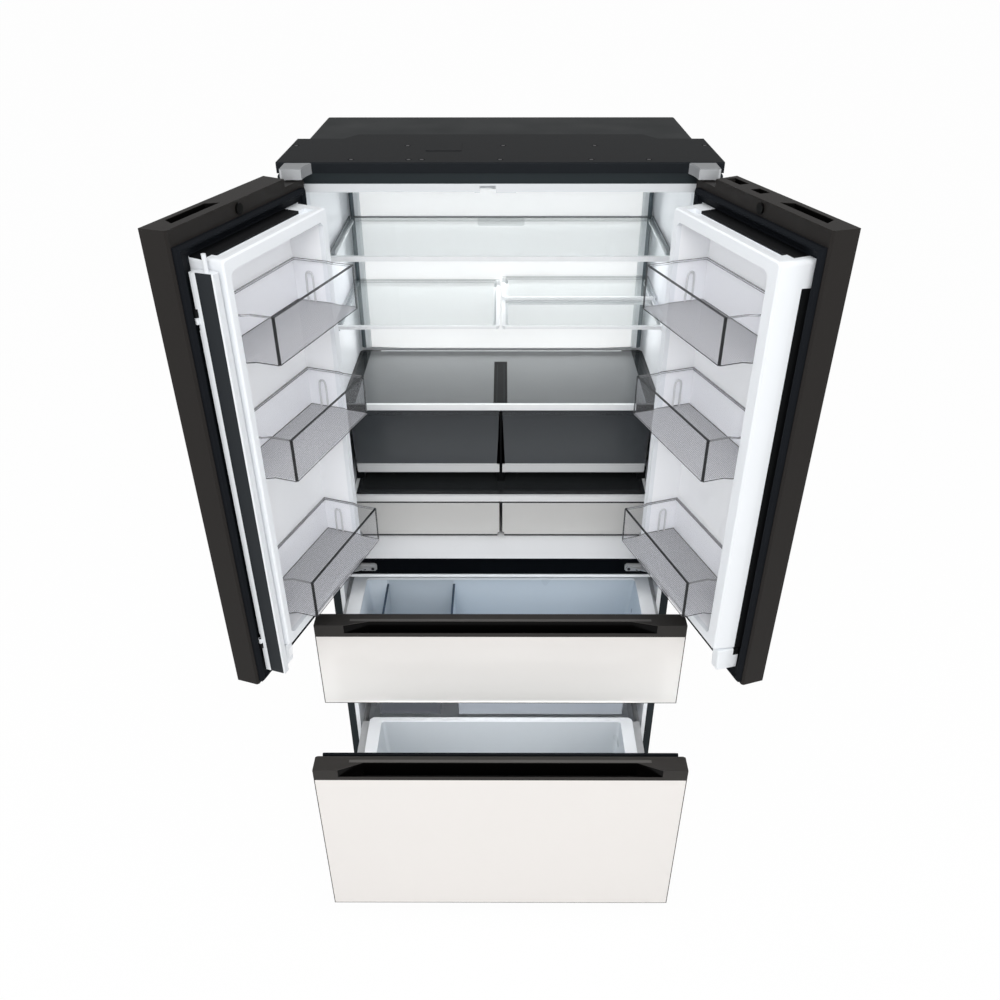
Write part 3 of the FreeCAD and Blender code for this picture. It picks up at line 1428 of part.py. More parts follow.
def freezer_bin(half, back, bottom, rim, flange):
    """Deep bin with a flat flange round its rim."""
    front = -DRAWER_BACK
    wall_half = half - flange
    body, hollow = tub(
        -wall_half, wall_half, front, back - FREEZER_BACK_FLANGE, bottom, rim, FREEZER_BIN_WALL,
        FREEZER_BIN_LEAN, FREEZER_BIN_CORNER, rounded,
    )
    plate = box(-half, half, front, back, rim - BIN_FLANGE_THICK, rim)
    plate = rounded(plate, FREEZER_BIN_CORNER, lambda p: p.y > (front + back) / 2)
    return less(body.fuse(plate), [hollow]).removeSplitter(), hollow


def upper_drawer_bin():
    shell, hollow = freezer_bin(
        UPPER_BIN_HALF, UPPER_BIN_BACK, UPPER_BIN_BOTTOM, UPPER_BIN_RIM, UPPER_BIN_FLANGE
    )
    walls = []
    for x in (ICE_LEFT, ICE_RIGHT):
        wall = box(
            x - FREEZER_BIN_WALL, x + FREEZER_BIN_WALL, -DRAWER_BACK + FREEZER_BIN_WALL / 2, UPPER_BIN_BACK,
            UPPER_BIN_BOTTOM + FREEZER_BIN_WALL / 2, UPPER_BIN_RIM - ICE_STEP_DROP,
        )
        walls.append(wall.common(hollow))
    return shell.fuse(walls).removeSplitter()


def lower_drawer_bin():
    return freezer_bin(LOWER_BIN_HALF, LOWER_BIN_BACK, LOWER_BIN_BOTTOM, LOWER_BIN_RIM, LOWER_BIN_FLANGE)[0]


def channel(outer, reach, low, high, front, back, sheet):
    """Right-hand slide channel: web towards the wall, lips inwards."""
    inner = outer - reach
    outline = [
        (outer, low), (outer, high), (inner, high), (inner, high - sheet), (outer - sheet, high - sheet),
        (outer - sheet, low + sheet), (inner, low + sheet), (inner, low),
    ]
    return profile_xz(outline, front, back)


def slide_outer(low):
    return channel(FRESH_HALF, SLIDE_REACH, low, low + SLIDE_HEIGHT, SLIDE_FRONT, SLIDE_BACK, SLIDE_SHEET)


def slide_middle(low):
    step = SLIDE_STEP
    outer = FRESH_HALF - SLIDE_SHEET - RUNNING
    return channel(
        outer, SLIDE_REACH, low + step, low + SLIDE_HEIGHT - step, SLIDE_FRONT - SLIDE_STAGGER,
        SLIDE_BACK - SLIDE_STAGGER, SLIDE_SHEET,
    )


def slide_inner(low, half, rim, flange):
    """Moving member with the carrier that takes the bin's flange."""
    step = SLIDE_STEP * 2
    outer = FRESH_HALF - 2 * (SLIDE_SHEET + RUNNING)
    inner = outer - SLIDE_REACH
    shelf_top = rim - BIN_FLANGE_THICK
    low_edge = low + step
    high_edge = low + SLIDE_HEIGHT - step
    sheet = CARRIER_SHEET
    seat = half - flange * 2 / 3
    outline = [
        (outer, low_edge), (outer, high_edge), (inner, high_edge), (inner, shelf_top), (seat, shelf_top),
        (seat, shelf_top - sheet), (inner - sheet, shelf_top - sheet), (inner - sheet, low_edge),
    ]
    return profile_xz(outline, -DRAWER_BACK, SLIDE_BACK - 2 * SLIDE_STAGGER)


def slide_channels():
    shapes = []
    for low in (UPPER_SLIDE_BOTTOM, LOWER_SLIDE_BOTTOM):
        shapes += [slide_outer(low), mirrored(slide_outer(low))]
    return Part.makeCompound(shapes)


def drawer_slides(low, half, rim, flange, bin_back):
    member = slide_inner(low, half, rim, flange)
    over = low + SLIDE_HEIGHT - SLIDE_STEP * 2 + EDGE_GAP
    behind = box(0, CABINET_HALF, bin_back + EDGE_GAP, CABINET_DEPTH, over, rim)
    return pair(less(member, [behind]))


# Freezer trays


def tray(x0, x1):
    body, hollow = tub(
        x0, x1, TRAY_FRONT, TRAY_BACK, TRAY_BOTTOM, TRAY_TOP, TRAY_WALL, TRAY_LEAN, TRAY_ROUND, eased
    )
    rim_low = TRAY_TOP - TRAY_RIM_THICK
    rim = box(x0 - TRAY_RIM, x1 + TRAY_RIM, TRAY_FRONT, TRAY_BACK + TRAY_RIM, rim_low, TRAY_TOP)
    rim = eased(rim, TRAY_ROUND, lambda p: p.y > TRAY_BACK)
    return less(body.fuse(rim), [hollow]).removeSplitter()


# Cooling


def evaporator_cover():
    """Cover in front of the evaporator, with the fan's mouth and its motor mount."""
    half = FRESH_HALF
    front = EVAPORATOR_COVER_FRONT
    back = front + EVAPORATOR_COVER_THICK
    low = EVAPORATOR_COVER_BOTTOM
    high = EVAPORATOR_COVER_TOP
    plate = box(-half, half, front, back, low, high)
    skirt = both(half - EVAPORATOR_COVER_THICK, half, back - EDGE_GAP, FRESH_BACK, low, high)
    fan_z = EVAPORATOR_FAN_HEIGHT
    reach = EVAPORATOR_FAN_RADIUS + FAN_TIP_GAP
    mouth = cylinder(reach, (0, front - CUT, fan_z), INWARD, CUT * 2 + EVAPORATOR_COVER_THICK)
    spider = fan_spider((0, front, fan_z), reach + FAN_TIP_GAP / 2)
    return joined([less(plate.fuse(skirt), [mouth]), spider])


def fan_spider(center, reach):
    """Three struts and a square motor behind a fan that faces -Y, with the shaft the rotor turns on."""
    x, y, z = center
    hub = reach * FAN_HUB_SHARE
    thick = EVAPORATOR_COVER_THICK
    shapes = [box(x - hub, x + hub, y, y + thick * 3, z - hub, z + hub)]
    for strut_number in range(FAN_STRUTS):
        strut = box(x - FAN_STRUT / 2, x + FAN_STRUT / 2, y, y + thick, z, z + reach)
        strut.rotate(V(x, y, z), INWARD, FULL_TURN * strut_number / FAN_STRUTS)
        shapes.append(strut)
    shapes.append(cylinder(FAN_SHAFT, (x, y - FAN_DEPTH + RUNNING * 2, z), INWARD, FAN_DEPTH))
    return joined(shapes)


def fan_rotor(center, radius):
    """Rotor of twisted blades round a cupped hub, facing -Y."""
    x, y, z = center
    hub = radius * FAN_HUB_SHARE
    depth = FAN_DEPTH - RUNNING * 3
    back = y - RUNNING
    shapes = [hexagon(hub, (x, back - depth, z), INWARD, depth)]
    chord = radius * (1 - FAN_HUB_SHARE)
    for blade in range(FAN_BLADES):
        margin = depth * (1 - FAN_BLADE_SHARE) / 2
        root_z = z + hub * FAN_ROOT_SHARE
        root = box(
            x - FAN_BLADE_THICK / 2, x + FAN_BLADE_THICK / 2, back - depth + margin, back - margin, root_z,
            root_z + chord,
        )
        root.rotate(V(x, back - depth / 2, z), UP, FAN_TWIST)
        root.rotate(V(x, y, z), INWARD, FULL_TURN * blade / FAN_BLADES)
        shapes.append(root)
    solid = joined(shapes)
    bore = cylinder(FAN_SHAFT + PIN_CLEARANCE, (x, back - depth - CUT, z), INWARD, depth + CUT * 2)
    return less(solid, [bore])


def evaporator_fan():
    return fan_rotor((0, EVAPORATOR_COVER_FRONT, EVAPORATOR_FAN_HEIGHT), EVAPORATOR_FAN_RADIUS)


def coil(x0, x1, front, depth, z0, rows, pitch, tube, fins):
    """Finned coil: a core of close tubes, fins along it and a header at each end."""
    height = pitch * (rows - 1)
    low = z0 - tube * 2
    high = z0 + height + tube * 2
    shapes = [box(x0, x1, front + tube, front + depth - tube, z0 - tube, z0 + height + tube)]
    for index in range(fins):
        x = x0 + tube * 2 + (x1 - x0 - tube * 4 - FIN) * index / (fins - 1)
        shapes.append(box(x, x + FIN, front, front + depth, low, high))
    for x in (x0 - tube, x1 - tube):
        shapes.append(box(x, x + tube * 2, front + depth / 4, front + depth * 3 / 4, low, high))
    return joined(shapes)


def evaporator():
    front = EVAPORATOR_FRONT
    coil_body = coil(
        -EVAPORATOR_HALF, EVAPORATOR_HALF, front, EVAPORATOR_DEPTH, EVAPORATOR_BOTTOM, EVAPORATOR_ROWS,
        EVAPORATOR_PITCH, EVAPORATOR_TUBE, EVAPORATOR_FINS,
    )
    top = EVAPORATOR_BOTTOM + EVAPORATOR_PITCH * (EVAPORATOR_ROWS - 1) + EVAPORATOR_TUBE * 2
    hanger = both(
        EVAPORATOR_HALF - EVAPORATOR_TUBE * 2 - FIN, EVAPORATOR_HALF - EVAPORATOR_TUBE * 2,
        front + EVAPORATOR_DEPTH - EDGE_GAP, FRESH_BACK, EVAPORATOR_BOTTOM, top,
    )
    return joined([coil_body] + hanger)


def compressor():
    """Can on a foot plate with four mounts and two pipe stubs."""
    base = CABINET_BOTTOM
    r = COMPRESSOR_RADIUS
    h = COMPRESSOR_HEIGHT
    low = base + COMPRESSOR_FOOT + COMPRESSOR_PLATE
    can = cylinder(r, (COMPRESSOR_X, COMPRESSOR_Y, low), UP, h)
    plate_x = r + COMPRESSOR_FOOT / 2
    plate_y = r - COMPRESSOR_FOOT / 2
    shapes = [can, box(
        COMPRESSOR_X - plate_x, COMPRESSOR_X + plate_x, COMPRESSOR_Y - plate_y, COMPRESSOR_Y + plate_y,
        low - COMPRESSOR_PLATE, low,
    )]
    mount_x = plate_x - COMPRESSOR_FOOT
    mount_y = plate_y - COMPRESSOR_FOOT
    for side in (-1, 1):
        for end in (-1, 1):
            place = (COMPRESSOR_X + side * mount_x, COMPRESSOR_Y + end * mount_y, base)
            shapes.append(hexagon(COMPRESSOR_FOOT / 2, place, UP, COMPRESSOR_FOOT))
        stub = (COMPRESSOR_X, COMPRESSOR_Y + side * r / 3, low + h - EDGE_GAP)
        shapes.append(hexagon(CONDENSER_TUBE, stub, UP, COMPRESSOR_STUB))
    return joined(shapes)


def condenser():
    bottom = CABINET_BOTTOM + CONDENSER_TUBE * 2
    coil_body = coil(
        CONDENSER_LEFT, CONDENSER_RIGHT, CONDENSER_FRONT, CONDENSER_DEPTH, bottom, CONDENSER_ROWS,
        CONDENSER_PITCH, CONDENSER_TUBE, CONDENSER_FINS,
    )
    x = CONDENSER_FAN_X
    y, z = condenser_fan_center()
    side = CONDENSER_FAN_RADIUS + FAN_TIP_GAP * 2
    shroud = box(x, x + SHROUD_THICK, y - side, y + side, CABINET_BOTTOM, z + side)
    mouth = cylinder(CONDENSER_FAN_RADIUS + FAN_TIP_GAP, (x - CUT, y, z), ACROSS, SHROUD_THICK + CUT * 2)
    spider = fan_spider((0, 0, 0), CONDENSER_FAN_RADIUS + FAN_TIP_GAP * 3 / 2)
    spider.rotate(ORIGIN, UP, -QUARTER_TURN)
    spider.rotate(ORIGIN, ACROSS, 2 * QUARTER_TURN)
    spider.translate(V(x, y, z))
    return Part.makeCompound([coil_body, joined([less(shroud, [mouth]), spider])])


def condenser_fan_center():
    side = CONDENSER_FAN_RADIUS + FAN_TIP_GAP * 2
    return CONDENSER_FRONT + CONDENSER_DEPTH / 2, CABINET_BOTTOM + side


def condenser_fan():
    y, z = condenser_fan_center()
    rotor = fan_rotor((0, 0, 0), CONDENSER_FAN_RADIUS)
    rotor.rotate(ORIGIN, UP, -QUARTER_TURN)
    rotor.rotate(ORIGIN, ACROSS, 2 * QUARTER_TURN)
    rotor.translate(V(CONDENSER_FAN_X, y, z))
    return rotor


def machine_cover():
    """Louvred plate over the machine space."""
    back = CABINET_DEPTH
    plate = box(
        -MACHINE_HALF, MACHINE_HALF, back - MACHINE_COVER_THICK, back, CABINET_BOTTOM, MACHINE_TOP
    )
    slots = []
    span = MACHINE_TOP - CABINET_BOTTOM
    for row in range(LOUVRE_ROWS):
        z = CABINET_BOTTOM + span * (row + 1) / (LOUVRE_ROWS + 1)
        for x in LOUVRE_PLACES:
            left = x - LOUVRE_WIDTH / 2
            slots.append(box(left, left + LOUVRE_WIDTH, back - CUT, back + CUT, z, z + LOUVRE_HEIGHT))
    return less(plate, slots)


# Base, feet and rollers


def base_frame():
    """Base tray with turned-down lips and the rear rollers' cheeks, slotted for their axles."""
    floor = CABINET_BOTTOM
    low = floor - BASE_SHEET
    lip = low - BASE_LIP
    back = CABINET_DEPTH - STEEL
    shapes = [
        box(-BASE_HALF, BASE_HALF, BASE_FRONT, back, low, floor),
        box(-BASE_HALF, BASE_HALF, BASE_FRONT, BASE_FRONT + BASE_SHEET, lip, floor),
    ]
    shapes += both(BASE_HALF - BASE_SHEET, BASE_HALF, BASE_FRONT, back, lip, floor)
    gap = ROLLER_WIDTH / 2 + ROLLER_SIDE_GAP
    outer = gap + ROLLER_CHEEK
    cheek_half = ROLLER_RADIUS / 2
    cheek_low = ROLLER_RADIUS - ROLLER_AXLE * 2
    well_half = ROLLER_RADIUS + EDGE_GAP
    slot_half = ROLLER_AXLE + PIN_CLEARANCE
    cuts = []
    for side in (-1, 1):
        middle = side * ROLLER_X
        for start in (middle - outer, middle + gap):
            shapes.append(box(
                start, start + ROLLER_CHEEK, ROLLER_Y - cheek_half, ROLLER_Y + cheek_half, cheek_low, floor
            ))
        cuts.append(box(
            middle - outer - CUT, middle + outer + CUT, ROLLER_Y - slot_half, ROLLER_Y + slot_half,
            cheek_low - CUT, ROLLER_RADIUS + slot_half,
        ))
        cuts.append(box(
            middle - gap, middle + gap, ROLLER_Y - well_half, ROLLER_Y + well_half, ROLLER_RADIUS * 3 / 2,
            floor + CUT,
        ))
    return less(joined(shapes), cuts)


def leveling_feet():
    """Screw feet: round pad, stem and the nut that locks it under the base."""
    under = CABINET_BOTTOM - BASE_SHEET
    pad = cylinder(FOOT_RADIUS, (FOOT_X, FOOT_Y, 0), UP, FOOT_PAD)
    stem = hexagon(FOOT_STEM, (FOOT_X, FOOT_Y, FOOT_PAD - EDGE_GAP), UP, under - FOOT_PAD + EDGE_GAP)
    nut = hexagon(FOOT_NUT, (FOOT_X, FOOT_Y, under - FOOT_NUT_HEIGHT), UP, FOOT_NUT_HEIGHT)
    return pair(joined([pad, stem, nut]))


def rollers():
    """Rear wheels, each with its axle stubs."""
    left = ROLLER_X - ROLLER_WIDTH / 2
    wheel = cylinder(ROLLER_RADIUS, (left, ROLLER_Y, ROLLER_RADIUS), ACROSS, ROLLER_WIDTH)
    reach = ROLLER_SIDE_GAP + ROLLER_CHEEK
    axle = cylinder(ROLLER_AXLE, (left - reach, ROLLER_Y, ROLLER_RADIUS), ACROSS, ROLLER_WIDTH + reach * 2)
    return pair(joined([wheel, axle]))


def main():
    os.makedirs("parts", exist_ok=True)
    export("outer_shell", outer_shell())
    export("insulation", insulation())
    export("fresh_food_liner", fresh_food_liner())
    export("freezer_liner", freezer_liner())
    export("top_cover", top_cover())
    export("hinge_caps", hinge_caps())
    export("upper_hinge_brackets", upper_hinge_brackets())
    export("lower_hinge_brackets", lower_hinge_brackets())
    export("screws", screws())
    export("mullion_guide", mullion_guide())
    export("cross_rails", cross_rails())
    export("light_panel", light_panel())
    export("air_duct_trims", air_duct_trims())
    export("shelf_glass", shelf_glass())
    export("shelf_frames", shelf_frames())
    export("drawer_cover_glass", drawer_cover_glass())
    export("drawer_runners", drawer_runners())
    export("slide_channels", slide_channels())
    export("evaporator", evaporator())
    export("evaporator_cover", evaporator_cover())
    export("compressor", compressor())
    export("condenser", condenser())
    export("machine_cover", machine_cover())
    export("base_frame", base_frame())
    export("leveling_feet", leveling_feet())

    left_liner = joined([door_liner(False)] + mullion_bracket_parts())
    export("left_door_frame", open_left(door_frame(False)))
    export("left_door_glass", open_left(door_glass()))
    export("left_door_liner", open_left(left_liner))
    export("left_door_gasket", open_left(door_gasket()))
    export("left_door_bins", open_left(door_bins()))
    export("mullion_body", open_left(mullion_body()))
    export("mullion_plate", open_left(mullion_plate()))
    export("right_door_frame", open_right(door_frame(True)))
    export("right_door_glass", open_right(door_glass()))
    export("right_door_liner", open_right(door_liner(True)))
    export("right_door_gasket", open_right(door_gasket()))
    export("right_door_bins", open_right(door_bins()))

    upper_bar = (UPPER_RECESS_FRONT_HALF, UPPER_RECESS_BACK_HALF, RECESS_DEPTH)
    upper_slide = (UPPER_SLIDE_BOTTOM, UPPER_BIN_HALF, UPPER_BIN_RIM, UPPER_BIN_FLANGE, UPPER_BIN_BACK)
    upper_front = drawer_front(UPPER_BOTTOM, UPPER_PANEL_TOP, UPPER_TOP, *upper_bar)
    export("upper_drawer_front", moved(upper_front, y=-UPPER_OUT))
    export("upper_drawer_panel", moved(drawer_panel(UPPER_BOTTOM, UPPER_PANEL_TOP), y=-UPPER_OUT))
    export("upper_drawer_gasket", moved(drawer_gasket(UPPER_GASKET_FOOT, UPPER_GASKET_TOP), y=-UPPER_OUT))
    export("upper_drawer_bin", moved(upper_drawer_bin(), y=-UPPER_OUT))
    export("upper_drawer_slides", moved(drawer_slides(*upper_slide), y=-UPPER_OUT))
    export("upper_slide_members", moved(pair(slide_middle(UPPER_SLIDE_BOTTOM)), y=-UPPER_OUT / 2))

    lower_bar = (LOWER_RECESS_FRONT_HALF, LOWER_RECESS_BACK_HALF, LOWER_RECESS_DEPTH)
    lower_slide = (LOWER_SLIDE_BOTTOM, LOWER_BIN_HALF, LOWER_BIN_RIM, LOWER_BIN_FLANGE, LOWER_BIN_BACK)
    lower_front = drawer_front(LOWER_BOTTOM, LOWER_PANEL_TOP, LOWER_TOP, *lower_bar)
    export("lower_drawer_front", moved(lower_front, y=-LOWER_OUT))
    export("lower_drawer_panel", moved(drawer_panel(LOWER_BOTTOM, LOWER_PANEL_TOP), y=-LOWER_OUT))
    export("lower_drawer_gasket", moved(drawer_gasket(LOWER_GASKET_FOOT, LOWER_GASKET_TOP), y=-LOWER_OUT))
    export("lower_drawer_bin", moved(lower_drawer_bin(), y=-LOWER_OUT))
    export("lower_drawer_slides", moved(drawer_slides(*lower_slide), y=-LOWER_OUT))
    export("lower_slide_members", moved(pair(slide_middle(LOWER_SLIDE_BOTTOM)), y=-LOWER_OUT / 2))
    export("left_freezer_tray", tray(LEFT_TRAY_OUTER, LEFT_TRAY_INNER))
    export("right_freezer_tray", tray(RIGHT_TRAY_INNER, RIGHT_TRAY_OUTER))
    export("left_crisper", crisper(True))
    export("right_crisper", crisper(False))
    export("left_pantry_drawer", pantry(True))
    export("right_pantry_drawer", pantry(False))
    export("sliding_shelf_glass", shelf_pane(*SLIDE_SHELF))
    export("sliding_shelf_frame", shelf_frame(*SLIDE_SHELF, MIDDLE_SHELF_FRAME))
    export("evaporator_fan", evaporator_fan())
    export("condenser_fan", condenser_fan())
    export("rear_rollers", rollers())


main()
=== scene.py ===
import json
import math

import bmesh
import bpy
from bpy.props import FloatProperty, FloatVectorProperty, PointerProperty
from bpy.types import Operator, Panel, PropertyGroup
from mathutils import Matrix, Vector


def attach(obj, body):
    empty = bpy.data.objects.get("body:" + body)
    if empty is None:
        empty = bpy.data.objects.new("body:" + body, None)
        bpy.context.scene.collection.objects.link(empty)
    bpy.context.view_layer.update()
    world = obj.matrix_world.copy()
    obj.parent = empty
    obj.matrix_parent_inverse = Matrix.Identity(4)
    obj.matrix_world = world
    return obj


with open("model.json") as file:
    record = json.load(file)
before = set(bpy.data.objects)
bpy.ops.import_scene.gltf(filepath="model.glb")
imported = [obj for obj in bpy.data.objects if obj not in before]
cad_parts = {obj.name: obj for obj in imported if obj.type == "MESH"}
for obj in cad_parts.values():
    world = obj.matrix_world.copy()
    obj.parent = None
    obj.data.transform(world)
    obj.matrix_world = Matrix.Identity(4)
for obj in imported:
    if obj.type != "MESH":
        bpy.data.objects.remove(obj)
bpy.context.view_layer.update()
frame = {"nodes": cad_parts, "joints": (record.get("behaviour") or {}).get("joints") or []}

bl_info = {
    "name": "Refrigerator",
    "version": (1, 0, 0),
    "blender": (4, 5, 0),
    "location": "View3D > Sidebar > Refrigerator",
    "description": "Dresses a two door refrigerator with two freezer drawers",
    "category": "Object",
}

# Lengths are in metres. A band is a middle and a reach to each side of it, as Field.near takes them.
# U and V are places on an open door, as DoorPlace measures them.

# The camera that took the photograph
CAMERA_PLACE = (0.00856, -2.03914, 2.26502)
CAMERA_TURN_DEG = (55.7114, 0.0512, 0.1592)
CAMERA_LENS_MM = 32.655
CAMERA_SENSOR_MM = 36.0
CAMERA_SHIFT = (-0.00145, 0.03899)
CAMERA_REACH = 200

# How bright the floor looks, and how much of the backdrop's brightness lights the scene
FLOOR_GLOW = 0.975
SKY_LIGHT = 0.5

# Parts of a normal: a face looks along an axis from FLAT on, and stands up when its Z part is below STEEP
FLAT = 0.9
STEEP = 0.5

# Liners of the cabinet: a band at the sill is painted lighter as painted light, and the ceiling darker as painted
# shade
SHADED_CEILING_FOOT = 1.788
LIT_SILL_BAND = (0.862, 0.03)

# Linear light of the lit panel and its filter cover; the cover's place, and the pale edges of the strips beside
PANEL_GLOW = (0.41, 0.41, 0.406, 1)
FILTER_GLOW = (0.34, 0.345, 0.345, 1)
FILTER_COVER_HALF = 0.075
FILTER_COVER_FOOT = 1.5
TRIM_EDGE_BAND = (0.3845, 0.0085)
FILTER_SLOTS_PER_METRE = 90.0

# Shelves hang above SHELVES_FOOT, the top one above TOP_SHELF_FOOT, and the trim of the pantry drawers lies below
# LOW_TRIM_TOP. From GLASS_SIDE on, the glass is painted grey and made less clear, as painted shade of the side
# walls behind it.
# Clear bars run behind and beside it, each with a line.
SHELVES_FOOT = 1.3
TOP_SHELF_FOOT = 1.5
LOW_TRIM_TOP = 1.05
GLASS_SIDE = 0.3905
REAR_BAR = 0.43
REAR_LINE_BAND = (0.446, 0.0016)
SIDE_BAR = 0.398
SIDE_BAR_START = 0.11
SIDE_LINE_BAND = (0.4057, 0.0016)

# Smoked covers: those of the crispers lie above UPPER_COVER_FOOT, those of the pantry drawers below it
UPPER_COVER_FOOT = 1.1
COVER_END = 0.3775
COVER_BAR_FOOT = 1.15
COVER_BAR_END = 0.35
COVER_REAR_BAR = 0.452
DIVIDER_BAND = (-0.001, 0.018)
DIVIDER_DEPTHS = (0.09, 0.37)
# Two painted highlight lines along the divider: the outer band less the inner one, over these depths
HIGHLIGHT_OUTER_BAND = (-0.001, 0.0105)
HIGHLIGHT_INNER_BAND = (-0.001, 0.0085)
HIGHLIGHT_DEPTHS = (0.105, 0.35)

# Fronts of the crispers and of the pantry drawers
CRISPER_FRONT = 0.0952
CRISPER_STRIP_TOP = 1.0575
PANTRY_FRONT = 0.03
# The pantry fronts are painted dark as shade in the gap between them, above PANTRY_TOP and below PANTRY_FOOT
PANTRY_GAP_HALF = 0.0042
PANTRY_FOOT = 0.8795
PANTRY_TOP = 0.9825

# Top edges of the door frames, and the U and V bands of their handle slots and small pockets, painted dark as shade
FRAME_TOP_BAND = (1.8275, 0.0215)
FRAME_POCKETS = (((0.225, 0.168), (0.0, 0.022)), ((0.219, 0.0104), (0.0335, 0.0033)))

# Door liners: the U of the free side of their raised rims, and the black rubber round these
RIM_FREE_SIDE = {"left": 0.386, "right": 0.405}
RUBBER_TOP = 1.79
RUBBER_TOP_U_BAND = (0.224, 0.159)
RUBBER_TOP_V = 0.061
RUBBER_SIDE_WIDTH = 0.012
RUBBER_SIDE_BAND = (1.336, 0.412)
RUBBER_SIDE_V = 0.0485
# Band of the door hollows, painted lighter as painted light
HOLLOW_V = 0.084
HOLLOW_U_BAND = (0.2, 0.172)
HOLLOW_BAND = (1.34, 0.44)
SKIRT_V = 0.0296

# Door bins: heights of the floors, V of the fronts, (U, V) of the front corners, reach of the dark lines
BIN_FLOORS = (1.603, 1.361, 1.023)
BIN_FRONT = 0.16
BIN_RIM_WIDTH = 0.0065
BIN_CORNERS = ((0.0430, 0.1580), (0.3540, 0.1580))
CORNER_LINE = 0.0023
FOOT_LINE = 0.0020
CLIP_U = 0.039
CLIP_RADIUS = 0.0023

# White strip of the mullion's plate
MULLION_EDGE_V = 0.0528

# Freezer drawers: each handle bar's front, recess depth and top, and each bin's rim
UPPER_PANEL_FOOT = 0.58
UPPER_PANEL_TOP = 0.83
HANDLES = {"upper": (-0.334, 0.017, 0.847), "lower": (-0.5415, 0.026, 0.565)}
HANDLE_HALF = 0.4
LIT_EDGE_HALF = 0.37
BIN_RIMS = {"upper": 0.75, "lower": 0.29}
BIN_WALL_BANDS = ((-0.315, 0.003), (-0.131, 0.003))
ICE_BAND = (-0.223, 0.0905)
ICE_SIDE = -0.3185
TRAY_RIM_BAND = (0.5, 0.003)

BLACK = (0, 0, 0)
WHITE = (1, 1, 1, 1)


def shade(name, description, default):
    """A display color."""
    return FloatVectorProperty(name=name, description=description, subtype="COLOR_GAMMA", size=3, min=0, max=1,
                               default=default)


